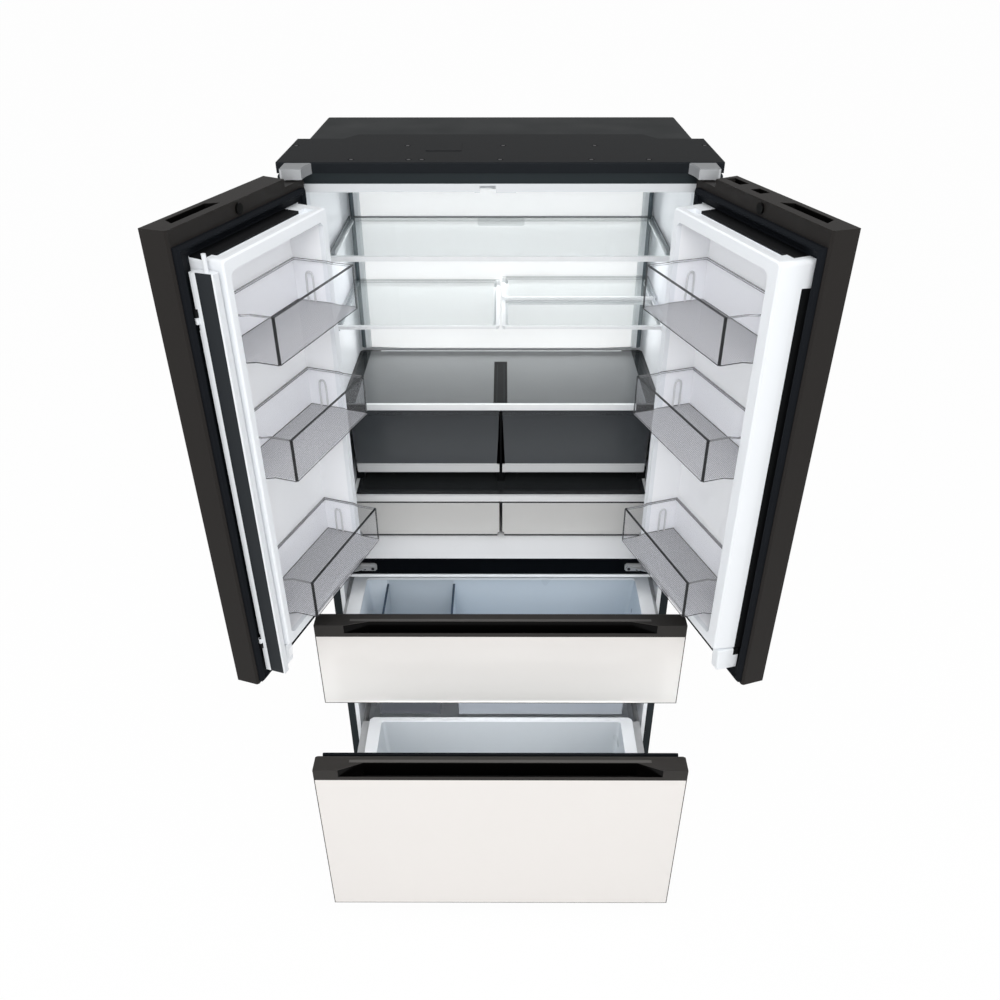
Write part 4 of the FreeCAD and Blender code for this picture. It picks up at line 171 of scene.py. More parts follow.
class RefrigeratorColors(PropertyGroup):
    """Colors of the finishes"""

    shell: shade("Shell", "Painted steel of the cabinet", (0.155, 0.175, 0.185))
    foam: shade("Foam", "Insulation behind the liners", (0.86, 0.80, 0.62))
    foam_cells: shade("Foam cells", "Darker cells in it", (0.70, 0.62, 0.42))
    cover: shade("Top cover", "Grained plastic over the hinges", (0.10, 0.112, 0.125))
    liner: shade("Liners", "Moulded plastic of the liners", (0.935, 0.948, 0.962))
    # Painted light: the lighter white laid on the sill and the door hollows
    bright_liner: shade("Bright liners", "Sill and door hollows", (0.985, 0.99, 1.0))
    lit_panel: shade("Lit panel", "Plastic of the rear panel", (0.94, 0.945, 0.945))
    cap: shade("Hinge caps", "Silver plastic over the hinges", (0.56, 0.57, 0.58))
    # Painted light: the lighter color of the caps' upright faces
    cap_front_light: shade("Hinge cap fronts", "Their upright faces", (0.78, 0.79, 0.80))
    screw: shade("Screws", "Blackened screws", (0.17, 0.17, 0.18))
    plated: shade("Plated steel", "Zinc plated brackets and slides", (0.80, 0.805, 0.81))
    filter_cover: shade("Filter cover", "Small cover on the lit panel", (0.80, 0.81, 0.81))
    trim: shade("Duct trims", "Strips beside the lit panel", (0.40, 0.44, 0.46))
    trim_edge: shade("Duct trim edges", "Pale edges of these strips", (0.93, 0.945, 0.95))
    shelf_glass: shade("Shelf glass", "Tint of the glass shelves", (0.84, 0.87, 0.87))
    # Painted shade: grey laid on the glass sides for the shaded side walls seen through them
    shelf_side_shade: shade("Shelf sides", "Side edges of the glass shelves", (0.50, 0.54, 0.55))
    shelf_clear: shade("Shelf light", "Light through the shelves", (0.967, 0.97, 0.97))
    shelf_trim: shade("Shelf trims", "Metal edges of the shelves", (0.955, 0.96, 0.965))
    low_trim: shade("Low trims", "Edge over the pantry drawers", (0.985, 0.99, 0.99))
    shelf_bar: shade("Shelf bars", "Clear bars of the shelves", (0.30, 0.32, 0.33))
    bar_clear: shade("Bar light", "Light through the clear bars", (0.985, 0.986, 0.986))
    smoky_bar: shade("Smoky bars", "Dark bars of the crispers' cover", (0.12, 0.125, 0.13))
    cover_glass: shade("Cover glass", "Smoked glass over the drawers", (0.50, 0.51, 0.515))
    cover_end: shade("Cover ends", "Dark ends of the smoked glass", (0.20, 0.21, 0.215))
    cover_clear: shade("Cover light", "Light through the smoked glass", (0.62, 0.63, 0.635))
    divider: shade("Divider", "Black bar under the smoked glass", (0.03, 0.033, 0.037))
    # Painted highlight: the paler lines along the divider
    divider_highlight: shade("Divider edges", "Paler lines along that bar", (0.13, 0.14, 0.15))
    door_frame: shade("Door frames", "Plastic rim of the doors", (0.155, 0.147, 0.142))
    front: shade("Fronts", "Panes of the doors and drawers", (0.925, 0.91, 0.897))
    # Painted light: the lighter color at the foot of the upper drawer's pane
    front_foot_light: shade("Front foot", "Foot of the upper drawer's pane", (0.99, 0.985, 0.975))
    gasket: shade("Gaskets", "Rubber of the door seals", (0.07, 0.08, 0.095))
    mullion_steel: shade("Mullion plate", "Steel of the folding mullion", (0.12, 0.135, 0.15))
    rail: shade("Cross rails", "Painted steel under each space", (0.035, 0.045, 0.06))
    clear: shade("Clear plastic", "Tint of the door bins", (0.98, 0.982, 0.99))
    bin_clear: shade("Bin light", "Light through the door bins", (0.998, 0.998, 1.0))
    bin_floor: shade("Bin floors", "Dotted floors of the door bins", (0.97, 0.97, 0.985))
    bin_line: shade("Bin edges", "Rims and corners of the door bins", (0.06, 0.064, 0.075))
    clip_clear: shade("Clip light", "Light through the bins' clips", (0.80, 0.81, 0.84))
    smoked: shade("Smoked plastic", "Tint of the crispers", (0.285, 0.29925, 0.3135))
    # Painted reflection: the paler color near the foot of the crisper fronts
    smoked_foot_reflection: shade("Smoked foot", "Crisper fronts near their foot", (0.43, 0.445, 0.46))
    smoked_clear: shade("Smoked light", "Light through the crispers", (0.55, 0.56, 0.575))
    # Dark plastic of the runners; also painted shade in the gaps round the pantry fronts
    runner_dark_and_gap_shade: shade("Smoked edges", "Runners and edges of the drawers", (0.055, 0.06, 0.065))
    pantry: shade("Pantry fronts", "Plastic of the wide drawers", (0.83, 0.828, 0.82))
    handle: shade("Handle bars", "Plastic of the pulls", (0.225, 0.218, 0.212))
    # Painted highlight: the lighter color on the lips' top edges
    handle_highlight: shade("Handle edges", "Lit rear edges of the pulls", (0.40, 0.393, 0.385))
    # Painted shade: near black for the handle recesses and the frames' slots and pockets
    recess: shade("Handle recesses", "Gloss inside the pulls", (0.02, 0.018, 0.017))
    upper_bin: shade("Upper freezer bin", "Frosted blue plastic", (0.79, 0.835, 0.875))
    ice_side: shade("Ice side", "Left end of the upper bin", (0.89, 0.925, 0.955))
    lower_bin: shade("Lower freezer bin", "Frosted grey plastic", (0.776, 0.79734, 0.8148))
    bin_flange: shade("Freezer bin flanges", "Frosted flanges of the bins", (0.93, 0.94, 0.95))
    bin_wall: shade("Freezer bin walls", "Top edges of the dividing walls", (0.22, 0.27, 0.33))
    left_tray: shade("Left tray", "Smoked plastic", (0.43, 0.44, 0.47))
    left_tray_clear: shade("Left tray light", "Light through it", (0.55, 0.56, 0.58))
    left_tray_rim: shade("Left tray rim", "Dark rim of it", (0.16, 0.165, 0.18))
    right_tray: shade("Right tray", "Clear plastic", (0.80, 0.82, 0.85))
    right_tray_clear: shade("Right tray light", "Light through it", (0.88, 0.9, 0.92))
    right_tray_rim: shade("Right tray rim", "Grey rim of it", (0.42, 0.45, 0.48))
    coil: shade("Coils", "Aluminium of both coils", (0.78, 0.79, 0.80))
    compressor: shade("Compressor", "Black paint", (0.06, 0.06, 0.065))
    fan: shade("Fans", "Grey plastic", (0.52, 0.53, 0.55))
    foot: shade("Feet", "Black plastic", (0.09, 0.09, 0.095))
    floor: shade("Floor", "Pale studio floor", (0.95, 0.95, 0.95))


class RefrigeratorSizes(PropertyGroup):
    """Sizes of the grains and of the studio, and the power of its lamps"""

    peel: FloatProperty(name="Paint peel", description="Width of the bumps in the paint",
                        default=0.0016, unit="LENGTH")
    grain: FloatProperty(name="Plastic grain", description="Width of the grain on matt plastic",
                         default=0.0009, unit="LENGTH")
    dots: FloatProperty(name="Bin dots", description="Pitch of the dots on the bins' floors",
                        default=0.0075, unit="LENGTH")
    floor: FloatProperty(name="Floor", description="Side of the studio floor", default=120.0, unit="LENGTH")
    lamp_power: FloatProperty(name="Lamp power", description="Power of the main lamp", default=86.0,
                              unit="POWER")
    cold_light: FloatProperty(name="Cold light", description="Power of the lamp that stands for the lit panel",
                              default=2.9, unit="POWER")
    drawer_light: FloatProperty(name="Drawer light", description="Power of the lamps over the open drawers",
                                default=1.0, unit="POWER")


def colors():
    return bpy.context.scene.refrigerator_colors


def sizes():
    return bpy.context.scene.refrigerator_sizes


def linear(color):
    """A display color as the linear value that a shader takes."""
    parts = [c / 12.92 if c <= 0.04045 else ((c + 0.055) / 1.055) ** 2.4 for c in color]
    return (*parts, 1.0)


def darker(color, share):
    return tuple(part * share for part in color)


class Field:
    """A value that varies over a surface; arithmetic on it adds the nodes that work it out."""

    def __init__(self, tree, socket):
        self.tree = tree
        self.socket = socket

    def math(self, operation, *values):
        return self.tree.node("ShaderNodeMath", {"operation": operation}, dict(enumerate(values)))

    def __add__(self, other):
        return self.math("ADD", self, other)

    def __radd__(self, other):
        return self.math("ADD", other, self)

    def __sub__(self, other):
        return self.math("SUBTRACT", self, other)

    def __rsub__(self, other):
        return self.math("SUBTRACT", other, self)

    def __mul__(self, other):
        return self.math("MULTIPLY", self, other)

    def __rmul__(self, other):
        return self.math("MULTIPLY", other, self)

    def __pow__(self, other):
        return self.math("POWER", self, other)

    def __gt__(self, other):
        return self.math("GREATER_THAN", self, other)

    def __lt__(self, other):
        return self.math("LESS_THAN", self, other)

    def __abs__(self):
        return self.math("ABSOLUTE", self)

    def least(self, other):
        return self.math("MINIMUM", self, other)

    def most(self, other):
        return self.math("MAXIMUM", self, other)

    def fraction(self):
        return self.math("FRACT", self)

    def sine(self):
        return self.math("SINE", self)

    def near(self, middle, reach):
        """1 within reach of middle, and 0 further away."""
        return abs(self - middle) < reach

    def between(self, low, high):
        """1 between low and high, and 0 outside."""
        return (self > low) * (self < high)


def any_of(masks):
    """The masks together, never above 1."""
    total = masks[0]
    for mask in masks[1:]:
        total = total + mask
    return total.least(1.0)


class NodeTree:
    """Adds nodes to a shader tree. What varies is passed on as a Field."""

    def __init__(self, tree):
        self.nodes = tree.nodes
        self.links = tree.links

    def feed(self, socket, value):
        """Links a Field to the socket, or sets a constant on it."""
        if isinstance(value, Field):
            self.links.new(value.socket, socket)
        else:
            socket.default_value = value

    def node(self, kind, settings=None, inputs=None, output=0):
        """Adds a node of that kind, and returns one of its outputs."""
        node = self.nodes.new(kind)
        for name, value in (settings or {}).items():
            setattr(node, name, value)
        for name, value in (inputs or {}).items():
            self.feed(node.inputs[name], value)
        return Field(self, node.outputs[output])


class Finish(NodeTree):
    """One material, built up from nodes around its main shader."""

    def __init__(self, name, color, roughness, **constants):
        self.material = bpy.data.materials.new(name)
        self.material.use_nodes = True
        super().__init__(self.material.node_tree)
        self.shader = self.nodes["Principled BSDF"]
        self.surface = self.nodes["Material Output"].inputs["Surface"]
        self.color = tuple(color)
        self.paint(linear(color))
        self.set("Roughness", roughness)
        for socket, value in constants.items():
            self.set(socket.replace("_", " "), value)

    def set(self, socket, value):
        self.feed(self.shader.inputs[socket], value)

    def mix(self, share, first, second):
        """The linear color first where share is 0, and second where it is 1."""
        return self.node("ShaderNodeMix", {"data_type": "RGBA"}, {0: share, 6: first, 7: second}, output=2)

    def tint(self, share, color):
        """The finish's own color where share is 0, and that display color where it is 1."""
        return self.mix(share, linear(self.color), linear(color))

    def clouds(self, pattern, share):
        """The finish's own color where the pattern is 0, and that share of it where it is 1."""
        return self.tint(pattern, darker(self.color, share))

    def paint(self, skin):
        """Makes skin the base color, and keeps it so that details can be laid over it."""
        self.skin = skin
        self.set("Base Color", skin)

    def overlay(self, share, color):
        """Lays a display color or a Field over the base color where share is 1."""
        self.paint(self.mix(share, self.skin, color if isinstance(color, Field) else linear(color)))

    def vector_math(self, operation, first, second, output=0):
        return self.node("ShaderNodeVectorMath", {"operation": operation}, {0: first, 1: second}, output)

    def axes(self, vector):
        """The X, Y and Z of a vector."""
        split = self.node("ShaderNodeSeparateXYZ", None, {0: vector}).socket.node
        return [Field(self, output) for output in split.outputs]

    def place(self):
        return self.node("ShaderNodeTexCoord", output="Object")

    def across_depth_height(self):
        """X, Y and Z of the surface in the frame."""
        return self.axes(self.place())

    def height(self):
        return self.across_depth_height()[2]

    def normal_axes(self):
        return self.axes(self.node("ShaderNodeTexCoord", output="Normal"))

    def level(self):
        """1 on faces that look straight up or down."""
        return abs(self.normal_axes()[2]) > FLAT

    def upright(self):
        """1 on faces that stand up."""
        return abs(self.normal_axes()[2]) < STEEP

    def along(self, direction, start):
        """How far the surface lies from start, measured along direction."""
        return self.vector_math("DOT_PRODUCT", self.vector_math("SUBTRACT", self.place(), start), direction, 1)

    def slant(self, blend=0.35):
        """0 where the surface is seen face on, up to 1 where it is seen at a slant."""
        return self.node("ShaderNodeLayerWeight", None, {"Blend": blend}, output="Facing")

    def grain(self, width, detail=2.0, stretch=(1, 1, 1)):
        """Noise between 0 and 1 whose bumps are that wide; a stretch below 1 draws them out along its axis."""
        at = self.vector_math("MULTIPLY", self.place(), stretch)
        return self.node("ShaderNodeTexNoise", None, {"Vector": at, "Scale": 1 / width, "Detail": detail})

    def blotched(self, width, low, high):
        """A slow change of value over the surface, from low to high."""
        return low + (high - low) * self.grain(width, 1.0)

    def raise_surface(self, height, distance, strength):
        inputs = {"Height": height, "Distance": distance, "Strength": strength}
        self.set("Normal", self.node("ShaderNodeBump", None, inputs))

    def show(self, share, shader):
        """Ends in that shader, apart from the share that the main shader keeps."""
        main = Field(self, self.shader.outputs[0])
        self.feed(self.surface, self.node("ShaderNodeMixShader", None, {0: share, 1: shader, 2: main}))

    def see_through(self, share, clear_color):
        """Lets light of that color straight through, apart from the share that the main shader keeps."""
        self.show(share, self.node("ShaderNodeBsdfTransparent", None, {"Color": linear(clear_color)}))


def dress(finish, *names):
    """Gives CAD nodes their finish."""
    for name in names:
        mesh = frame["nodes"][name].data
        mesh.materials.clear()
        mesh.materials.append(finish.material)


def painted_steel(name, color, roughness=0.42, gloss=0.05, level_lit_share=1.0):
    """Paint with a fine peel; level faces keep only a share of its color, given by the last argument, as painted
    shade on tops such as the roof.
    """
    finish = Finish(name, color, roughness, Specular_IOR_Level=gloss)
    finish.raise_surface(finish.grain(sizes().peel, 1.0), 0.00012, 0.35)
    finish.paint(finish.clouds(finish.grain(0.35, 3.0) * 0.35, 1.25))
    # Painted shade: level faces darkened toward black
    finish.overlay(finish.level() * (1 - level_lit_share), BLACK)
    finish.set("Roughness", finish.blotched(0.12, roughness - 0.05, roughness + 0.07))
    return finish


def moulded(name, color, roughness=0.32, coat=0.15, gloss=0.5):
    """Smooth moulded plastic: a faint ripple, and slightly uneven gloss."""
    finish = Finish(name, color, roughness, Specular_IOR_Level=gloss, Coat_Roughness=0.12)
    ripple = finish.grain(0.045, 1.0) + 0.15 * finish.grain(0.0014, 1.0)
    finish.raise_surface(ripple, 0.0004, 0.12)
    finish.paint(finish.clouds(finish.grain(0.16) * 0.5, 0.965))
    finish.set("Roughness", finish.blotched(0.08, roughness - 0.06, roughness + 0.06))
    finish.set("Coat Weight", coat)
    return finish


def grained(name, color, roughness=0.55, depth=0.00018, gloss=0.07):
    """Matt plastic with a fine leathery grain."""
    finish = Finish(name, color, roughness, Specular_IOR_Level=gloss)
    fine = finish.grain(sizes().grain, 3.0)
    finish.raise_surface(fine, depth, 0.5)
    finish.paint(finish.clouds(fine * 0.5, 1.22))
    finish.set("Roughness", roughness - 0.08 + 0.2 * fine)
    return finish


def plated(name, color, roughness=0.3, stretch=(1, 1, 1), metallic=0.4):
    """Plated steel with rolling marks and soft clouds."""
    finish = Finish(name, color, roughness, Metallic=metallic)
    marks = finish.grain(0.012, 4.0, stretch)
    finish.raise_surface(marks, 0.00006, 0.4)
    finish.paint(finish.clouds(finish.grain(0.03) * 0.6, 0.82))
    finish.set("Roughness", roughness - 0.06 + 0.16 * marks)
    return finish


def cast_rubber(name, color):
    """Rubber with fine ribs round it."""
    finish = Finish(name, color, 0.62, Specular_IOR_Level=0.06)
    fine = finish.grain(0.0012, 3.0)
    ribs = (finish.height() * 420.0).fraction() - 0.5
    finish.raise_surface(abs(ribs) * 0.35 + fine * 0.4, 0.00025, 0.35)
    finish.paint(finish.clouds(finish.grain(0.05) * 0.5, 1.35))
    finish.set("Roughness", 0.54 + 0.16 * fine)
    return finish


def clear_plastic(name, color, roughness=0.1):
    """Clear or smoked plastic with a soft ripple."""
    finish = Finish(name, color, roughness, Specular_IOR_Level=0.35)
    finish.set("Roughness", roughness + 0.06 * finish.grain(0.04, 3.0))
    finish.raise_surface(finish.grain(0.03, 1.0), 0.0003, 0.12)
    return finish


class DoorPlace:
    """Places on an opened door: u runs from its pin to its free edge, v inwards from the pin."""

    def __init__(self, side):
        hinge = next(joint for joint in frame["joints"] if joint["name"] == side + "_door_hinge")
        opened = Matrix.Rotation(-math.radians(hinge["range_deg"][0]), 3, Vector(hinge["axis"]))
        hand = 1 if side == "left" else -1
        self.body = side + "_door"
        self.pin = Vector((hinge["pos_m"][0], hinge["pos_m"][1], 0))
        self.u = opened @ Vector((hand, 0, 0))
        self.v = opened @ Vector((0, 1, 0))

    def at(self, u, v, height):
        return self.pin + u * self.u + v * self.v + Vector((0, 0, height))

    def measured(self, finish):
        """The u and v of a finish's surface."""
        return finish.along(self.u, self.pin), finish.along(self.v, self.pin)


def new_piece(name, data, finish, body):
    """A piece of the scene's own that rides on a body."""
    piece = bpy.data.objects.new(name, data)
    bpy.context.scene.collection.objects.link(piece)
    data.materials.append(finish.material)
    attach(piece, body)
    return piece


def bent_rod(name, points, radius, finish, body):
    """A round rod that follows a smooth curve near the points."""
    curve = bpy.data.curves.new(name, "CURVE")
    curve.dimensions = "3D"
    curve.bevel_depth = radius
    curve.bevel_resolution = 3
    spline = curve.splines.new("NURBS")
    spline.points.add(len(points) - 1)
    for point, place in zip(spline.points, points):
        point.co = (*place, 1)
    spline.order_u = 3
    spline.use_endpoint_u = True
    return new_piece(name, curve, finish, body)


def swept_band(name, profile, corners, finish, body):
    """A closed band round its corners; profile holds steps inwards from the corners, and steps up."""
    points = [corner(inward, rise) for inward, rise in profile for corner in corners]
    count = len(corners)
    faces = []
    for k in range(len(profile)):
        after = (k + 1) % len(profile)
        for i in range(count):
            j = (i + 1) % count
            faces.append((k * count + i, k * count + j, after * count + j, after * count + i))
    mesh = bpy.data.meshes.new(name)
    mesh.from_pydata(points, [], faces)
    mesh.validate()
    solid = bmesh.new()
    solid.from_mesh(mesh)
    bmesh.ops.recalc_face_normals(solid, faces=solid.faces)
    solid.to_mesh(mesh)
    solid.free()
    return new_piece(name, mesh, finish, body)


def rectangle(left, right, low, high):
    return (left, low), (right, low), (right, high), (left, high)


class StageOperator(Operator):
    """Adds the studio floor, the lamps and the camera"""

    bl_idname = "refrigerator.stage"
    bl_label = "Studio"

    def execute(self, context):
        self.floor(context)
        self.sky(context)
        self.lamps(context)
        self.camera(context)
        context.scene.cycles.transparent_max_bounces = 40
        context.scene.view_settings.view_transform = "Standard"
        return {"FINISHED"}

    def floor(self, context):
        """A plain that looks nearly white and still takes the shadow."""
        side = sizes().floor / 2
        mesh = bpy.data.meshes.new("studio_floor")
        mesh.from_pydata([(x, y, 0) for x, y in rectangle(-side, side, -side, side)], [], [(0, 1, 2, 3)])
        floor = bpy.data.objects.new("studio_floor", mesh)
        context.scene.collection.objects.link(floor)
        finish = Finish("studio_floor", colors().floor, 0.8, Specular_IOR_Level=0.0)
        rays = [finish.node("ShaderNodeLightPath", output=ray)
                for ray in ("Is Camera Ray", "Is Glossy Ray", "Is Transmission Ray")]
        seen = any_of(rays) * FLOOR_GLOW
        finish.show(1 - seen, finish.node("ShaderNodeEmission", None, {"Color": WHITE}))
        mesh.materials.append(finish.material)

    def sky(self, context):
        """A white backdrop that lights the scene less than it shows."""
        world = bpy.data.worlds.new("studio_sky")
        context.scene.world = world
        world.use_nodes = True
        tree = NodeTree(world.node_tree)
        backdrop = tree.node("ShaderNodeBackground", None, {"Color": WHITE})
        light = tree.node("ShaderNodeBackground", None, {"Color": WHITE, "Strength": SKY_LIGHT})
        seen = tree.node("ShaderNodeLightPath", output="Is Camera Ray")
        shown = tree.node("ShaderNodeMixShader", None, {0: seen, 1: light, 2: backdrop})
        tree.feed(tree.nodes["World Output"].inputs["Surface"], shown)

    def lamps(self, context):
        """Four soft lamps round the object, and small unseen ones for the light inside it."""
        for name, place, side, share in (
            ("lamp_front", (0.0, -3.6, 3.6), 2.6, 1.0),
            ("lamp_left", (-3.4, -1.4, 2.4), 1.8, 0.35),
            ("lamp_right", (3.4, -1.4, 2.4), 1.8, 0.35),
            ("lamp_top", (0.0, 0.4, 4.4), 2.0, 0.3),
        ):
            self.lamp(context, name, place, (0, 0, 1.0), (side, side), sizes().lamp_power * share)
        drawer_light = sizes().drawer_light
        for name, place, aim, span, power in (
            ("lamp_cold", (0.0, 0.392, 1.46), (0, -1.0, 1.3), (0.72, 0.42), sizes().cold_light),
            ("lamp_upper_drawer", (0.0, -0.14, 0.83), (0, -0.14, 0), (0.72, 0.06), drawer_light * 0.25),
            ("lamp_lower_drawer", (0.0, -0.41, 0.578), (0, -0.25, 0), (0.72, 0.08), drawer_light * 1.4),
            ("lamp_trays", (0.0, -0.24, 0.572), (0, 0.02, 0.44), (0.72, 0.05), drawer_light * 0.5),
        ):
            lamp = self.lamp(context, name, place, aim, span, power)
            lamp.visible_camera = False
            lamp.visible_glossy = False

    def lamp(self, context, name, place, aim, span, power):
        """A rectangular lamp that shines from place towards aim."""
        light = bpy.data.lights.new(name, "AREA")
        light.energy = power
        light.shape = "RECTANGLE"
        light.size, light.size_y = span
        lamp = bpy.data.objects.new(name, light)
        lamp.location = place
        lamp.rotation_euler = (Vector(aim) - Vector(place)).to_track_quat("-Z", "Y").to_euler()
        context.scene.collection.objects.link(lamp)
        return lamp

    def camera(self, context):
        lens = bpy.data.cameras.new("photo_camera")
        lens.sensor_width = CAMERA_SENSOR_MM
        lens.lens = CAMERA_LENS_MM
        lens.shift_x, lens.shift_y = CAMERA_SHIFT
        lens.clip_end = CAMERA_REACH
        camera = bpy.data.objects.new("photo_camera", lens)
        camera.location = CAMERA_PLACE
        camera.rotation_euler = [math.radians(turn) for turn in CAMERA_TURN_DEG]
        context.scene.collection.objects.link(camera)
        context.scene.camera = camera


class CabinetOperator(Operator):
    """Finishes the steel shell, the foam, the rails and the base"""

    bl_idname = "refrigerator.cabinet"
    bl_label = "Cabinet"

    def execute(self, context):
        # Painted shade: the shell's level faces, such as the roof, keep only part of its color
        dress(painted_steel("shell_paint", colors().shell, level_lit_share=0.38), "outer_shell")
        dress(painted_steel("rail_paint", colors().rail, 0.36), "cross_rails")
        foam = Finish("insulation_foam", colors().foam, 0.9, Specular_IOR_Level=0.1)
        cells = foam.grain(0.0012, 4.0)
        foam.raise_surface(cells, 0.0006, 0.7)
        foam.overlay(cells * 0.5, colors().foam_cells)
        dress(foam, "insulation")
        dress(plated("galvanised_steel", darker(colors().plated, 0.75), 0.42, metallic=0.8), "base_frame",
              "machine_cover")
        return {"FINISHED"}


class LinerOperator(Operator):
    """Finishes the moulded liners and the mullion guide"""

    bl_idname = "refrigerator.liners"
    bl_label = "Liners"

    def execute(self, context):
        liner = moulded("liner_plastic", colors().liner)
        height = liner.height()
        # Painted light: a lighter band at the sill
        liner.overlay(height.near(*LIT_SILL_BAND), colors().bright_liner)
        # Painted shade: the ceiling darkened
        liner.overlay(height > SHADED_CEILING_FOOT, darker(colors().liner, 0.91))
        dress(liner, "fresh_food_liner", "freezer_liner", "mullion_guide")
        return {"FINISHED"}


class CoverOperator(Operator):
    """Finishes the top cover, the hinge brackets, their caps and the screws"""

    bl_idname = "refrigerator.top_cover"
    bl_label = "Top cover and hinges"

    def execute(self, context):
        cover = grained("cover_plastic", colors().cover, 0.5)
        # Painted shade: level faces of the cover darkened toward black
        cover.overlay(cover.level() * 0.55, BLACK)
        dress(cover, "top_cover")
        cap = plated("cap_silver", colors().cap, 0.38, metallic=0.5)
        # Painted light: upright faces of the caps lighter than the rest
        cap.paint(cap.tint(cap.upright() * 0.75, colors().cap_front_light))
        dress(cap, "hinge_caps")
        dress(plated("bracket_steel", colors().plated, 0.28, (1, 0.2, 1)), "upper_hinge_brackets",
              "lower_hinge_brackets")
        dress(plated("screw_black", colors().screw, 0.3), "screws")
        return {"FINISHED"}


class LitPanelOperator(Operator):
    """Finishes the lit rear panel and the strips beside it"""

    bl_idname = "refrigerator.lit_panel"
    bl_label = "Lit rear panel"

    def execute(self, context):
        panel = moulded("lit_panel_plastic", colors().lit_panel, 0.5, 0.0)
        panel.set("Emission Color", PANEL_GLOW)
        panel.set("Emission Strength", 1.0)
        dress(panel, "light_panel")
        trims = Finish("duct_trim_plastic", colors().trim, 0.32, Specular_IOR_Level=0.3)
        across, _, height = trims.across_depth_height()
        filter_cover = (abs(across) < FILTER_COVER_HALF) * (height > FILTER_COVER_FOOT)
        trims.overlay(abs(across).near(*TRIM_EDGE_BAND), colors().trim_edge)
        trims.overlay(filter_cover, colors().filter_cover)
        trims.set("Emission Color", trims.mix(filter_cover, linear(BLACK), FILTER_GLOW))
        trims.set("Emission Strength", 1.0)
        slots = ((across * FILTER_SLOTS_PER_METRE).fraction() > 0.72) * filter_cover
        fine = trims.grain(sizes().grain, 3.0)
        trims.raise_surface(fine * 0.4 - slots * 0.6, 0.0002, 0.4)
        trims.set("Roughness", 0.28 + 0.12 * fine)
        dress(trims, "air_duct_trims")
        return {"FINISHED"}


class ShelfOperator(Operator):
    """Finishes the glass shelves, the crispers' covers and their frames"""

    bl_idname = "refrigerator.shelves"
    bl_label = "Shelves"

    def execute(self, context):
        dress(self.shelf_glass(), "shelf_glass", "sliding_shelf_glass")
        dress(self.trim(), "shelf_frames", "sliding_shelf_frame")
        dress(self.cover_glass(), "drawer_cover_glass")
        return {"FINISHED"}

    def shelf_glass(self):
        """Clear glass whose side edges are painted grey and less clear, as painted shade of the side walls seen
        through it.
        """
        glass = Finish("shelf_glass", colors().shelf_glass, 0.04, Specular_IOR_Level=0.6)
        side = abs(glass.across_depth_height()[0]) > GLASS_SIDE
        # Painted shade of the side walls behind, laid on the glass
        glass.overlay(side, colors().shelf_side_shade)
        glass.set("Roughness", 0.04 + 0.03 * glass.grain(0.02))
        glass.see_through(0.03 + 0.14 * glass.slant() + side * 0.36, colors().shelf_clear)
        return glass

    def cover_glass(self):
        """Smoked glass with dark ends, and over the crispers a black divider with two painted highlight lines along
        it.
        """
        glass = Finish("cover_glass", colors().cover_glass, 0.04, Specular_IOR_Level=0.2)
        across, depth, height = glass.across_depth_height()
        divider = across.near(*DIVIDER_BAND) * depth.between(*DIVIDER_DEPTHS) * (height > UPPER_COVER_FOOT)
        # Painted highlight lines along the divider
        highlight_lines = across.near(*HIGHLIGHT_OUTER_BAND) * depth.between(*HIGHLIGHT_DEPTHS)
        highlight_lines = highlight_lines * (1 - across.near(*HIGHLIGHT_INNER_BAND))
        ends = (height < UPPER_COVER_FOOT).most(abs(across) > COVER_END)
        glass.overlay(divider, colors().divider)
        glass.overlay(highlight_lines, colors().divider_highlight)
        glass.overlay(ends, colors().cover_end)
        glass.set("Roughness", 0.05 + 0.03 * glass.grain(0.02) + 0.5 * divider)
        share = 0.62 + 0.16 * glass.slant() + glass.upright() * 0.8 + divider
        glass.see_through(share.least(0.985), colors().cover_clear)
        return glass

    def trim(self):
        """Bright metal at the front of each shelf; clear bars with a dark inner line at its back and sides."""
        trim = plated("shelf_trim", colors().shelf_trim, 0.3, (0.15, 1, 1), 0.2)
        across, depth, height = trim.across_depth_height()
        shelf = height > SHELVES_FOOT
        covers = 1 - shelf
        rear = (depth > REAR_BAR) * shelf
        outside = (abs(across) > SIDE_BAR) * (depth > SIDE_BAR_START)
        sides = outside * shelf
        cover_ends = (abs(across) > COVER_BAR_END) * (height > COVER_BAR_FOOT)
        smoky = any_of([outside * covers, (depth > COVER_REAR_BAR) * covers, cover_ends * covers])
        line = (depth.near(*REAR_LINE_BAND) * rear).most(abs(across).near(*SIDE_LINE_BAND) * sides)
        line = line * (0.25 + 0.75 * (height > TOP_SHELF_FOOT))
        trim.paint(trim.clouds(trim.grain(0.03) * 0.3, 0.86))
        trim.overlay(height < LOW_TRIM_TOP, colors().low_trim)
        trim.overlay(smoky, colors().smoky_bar)
        trim.overlay(rear.most(sides), colors().shelf_bar)
        share = 1 - rear * 0.93 - sides * (1 - rear) * 0.97 + line * 0.85
        trim.see_through(share.least(1.0), colors().bar_clear)
        return trim


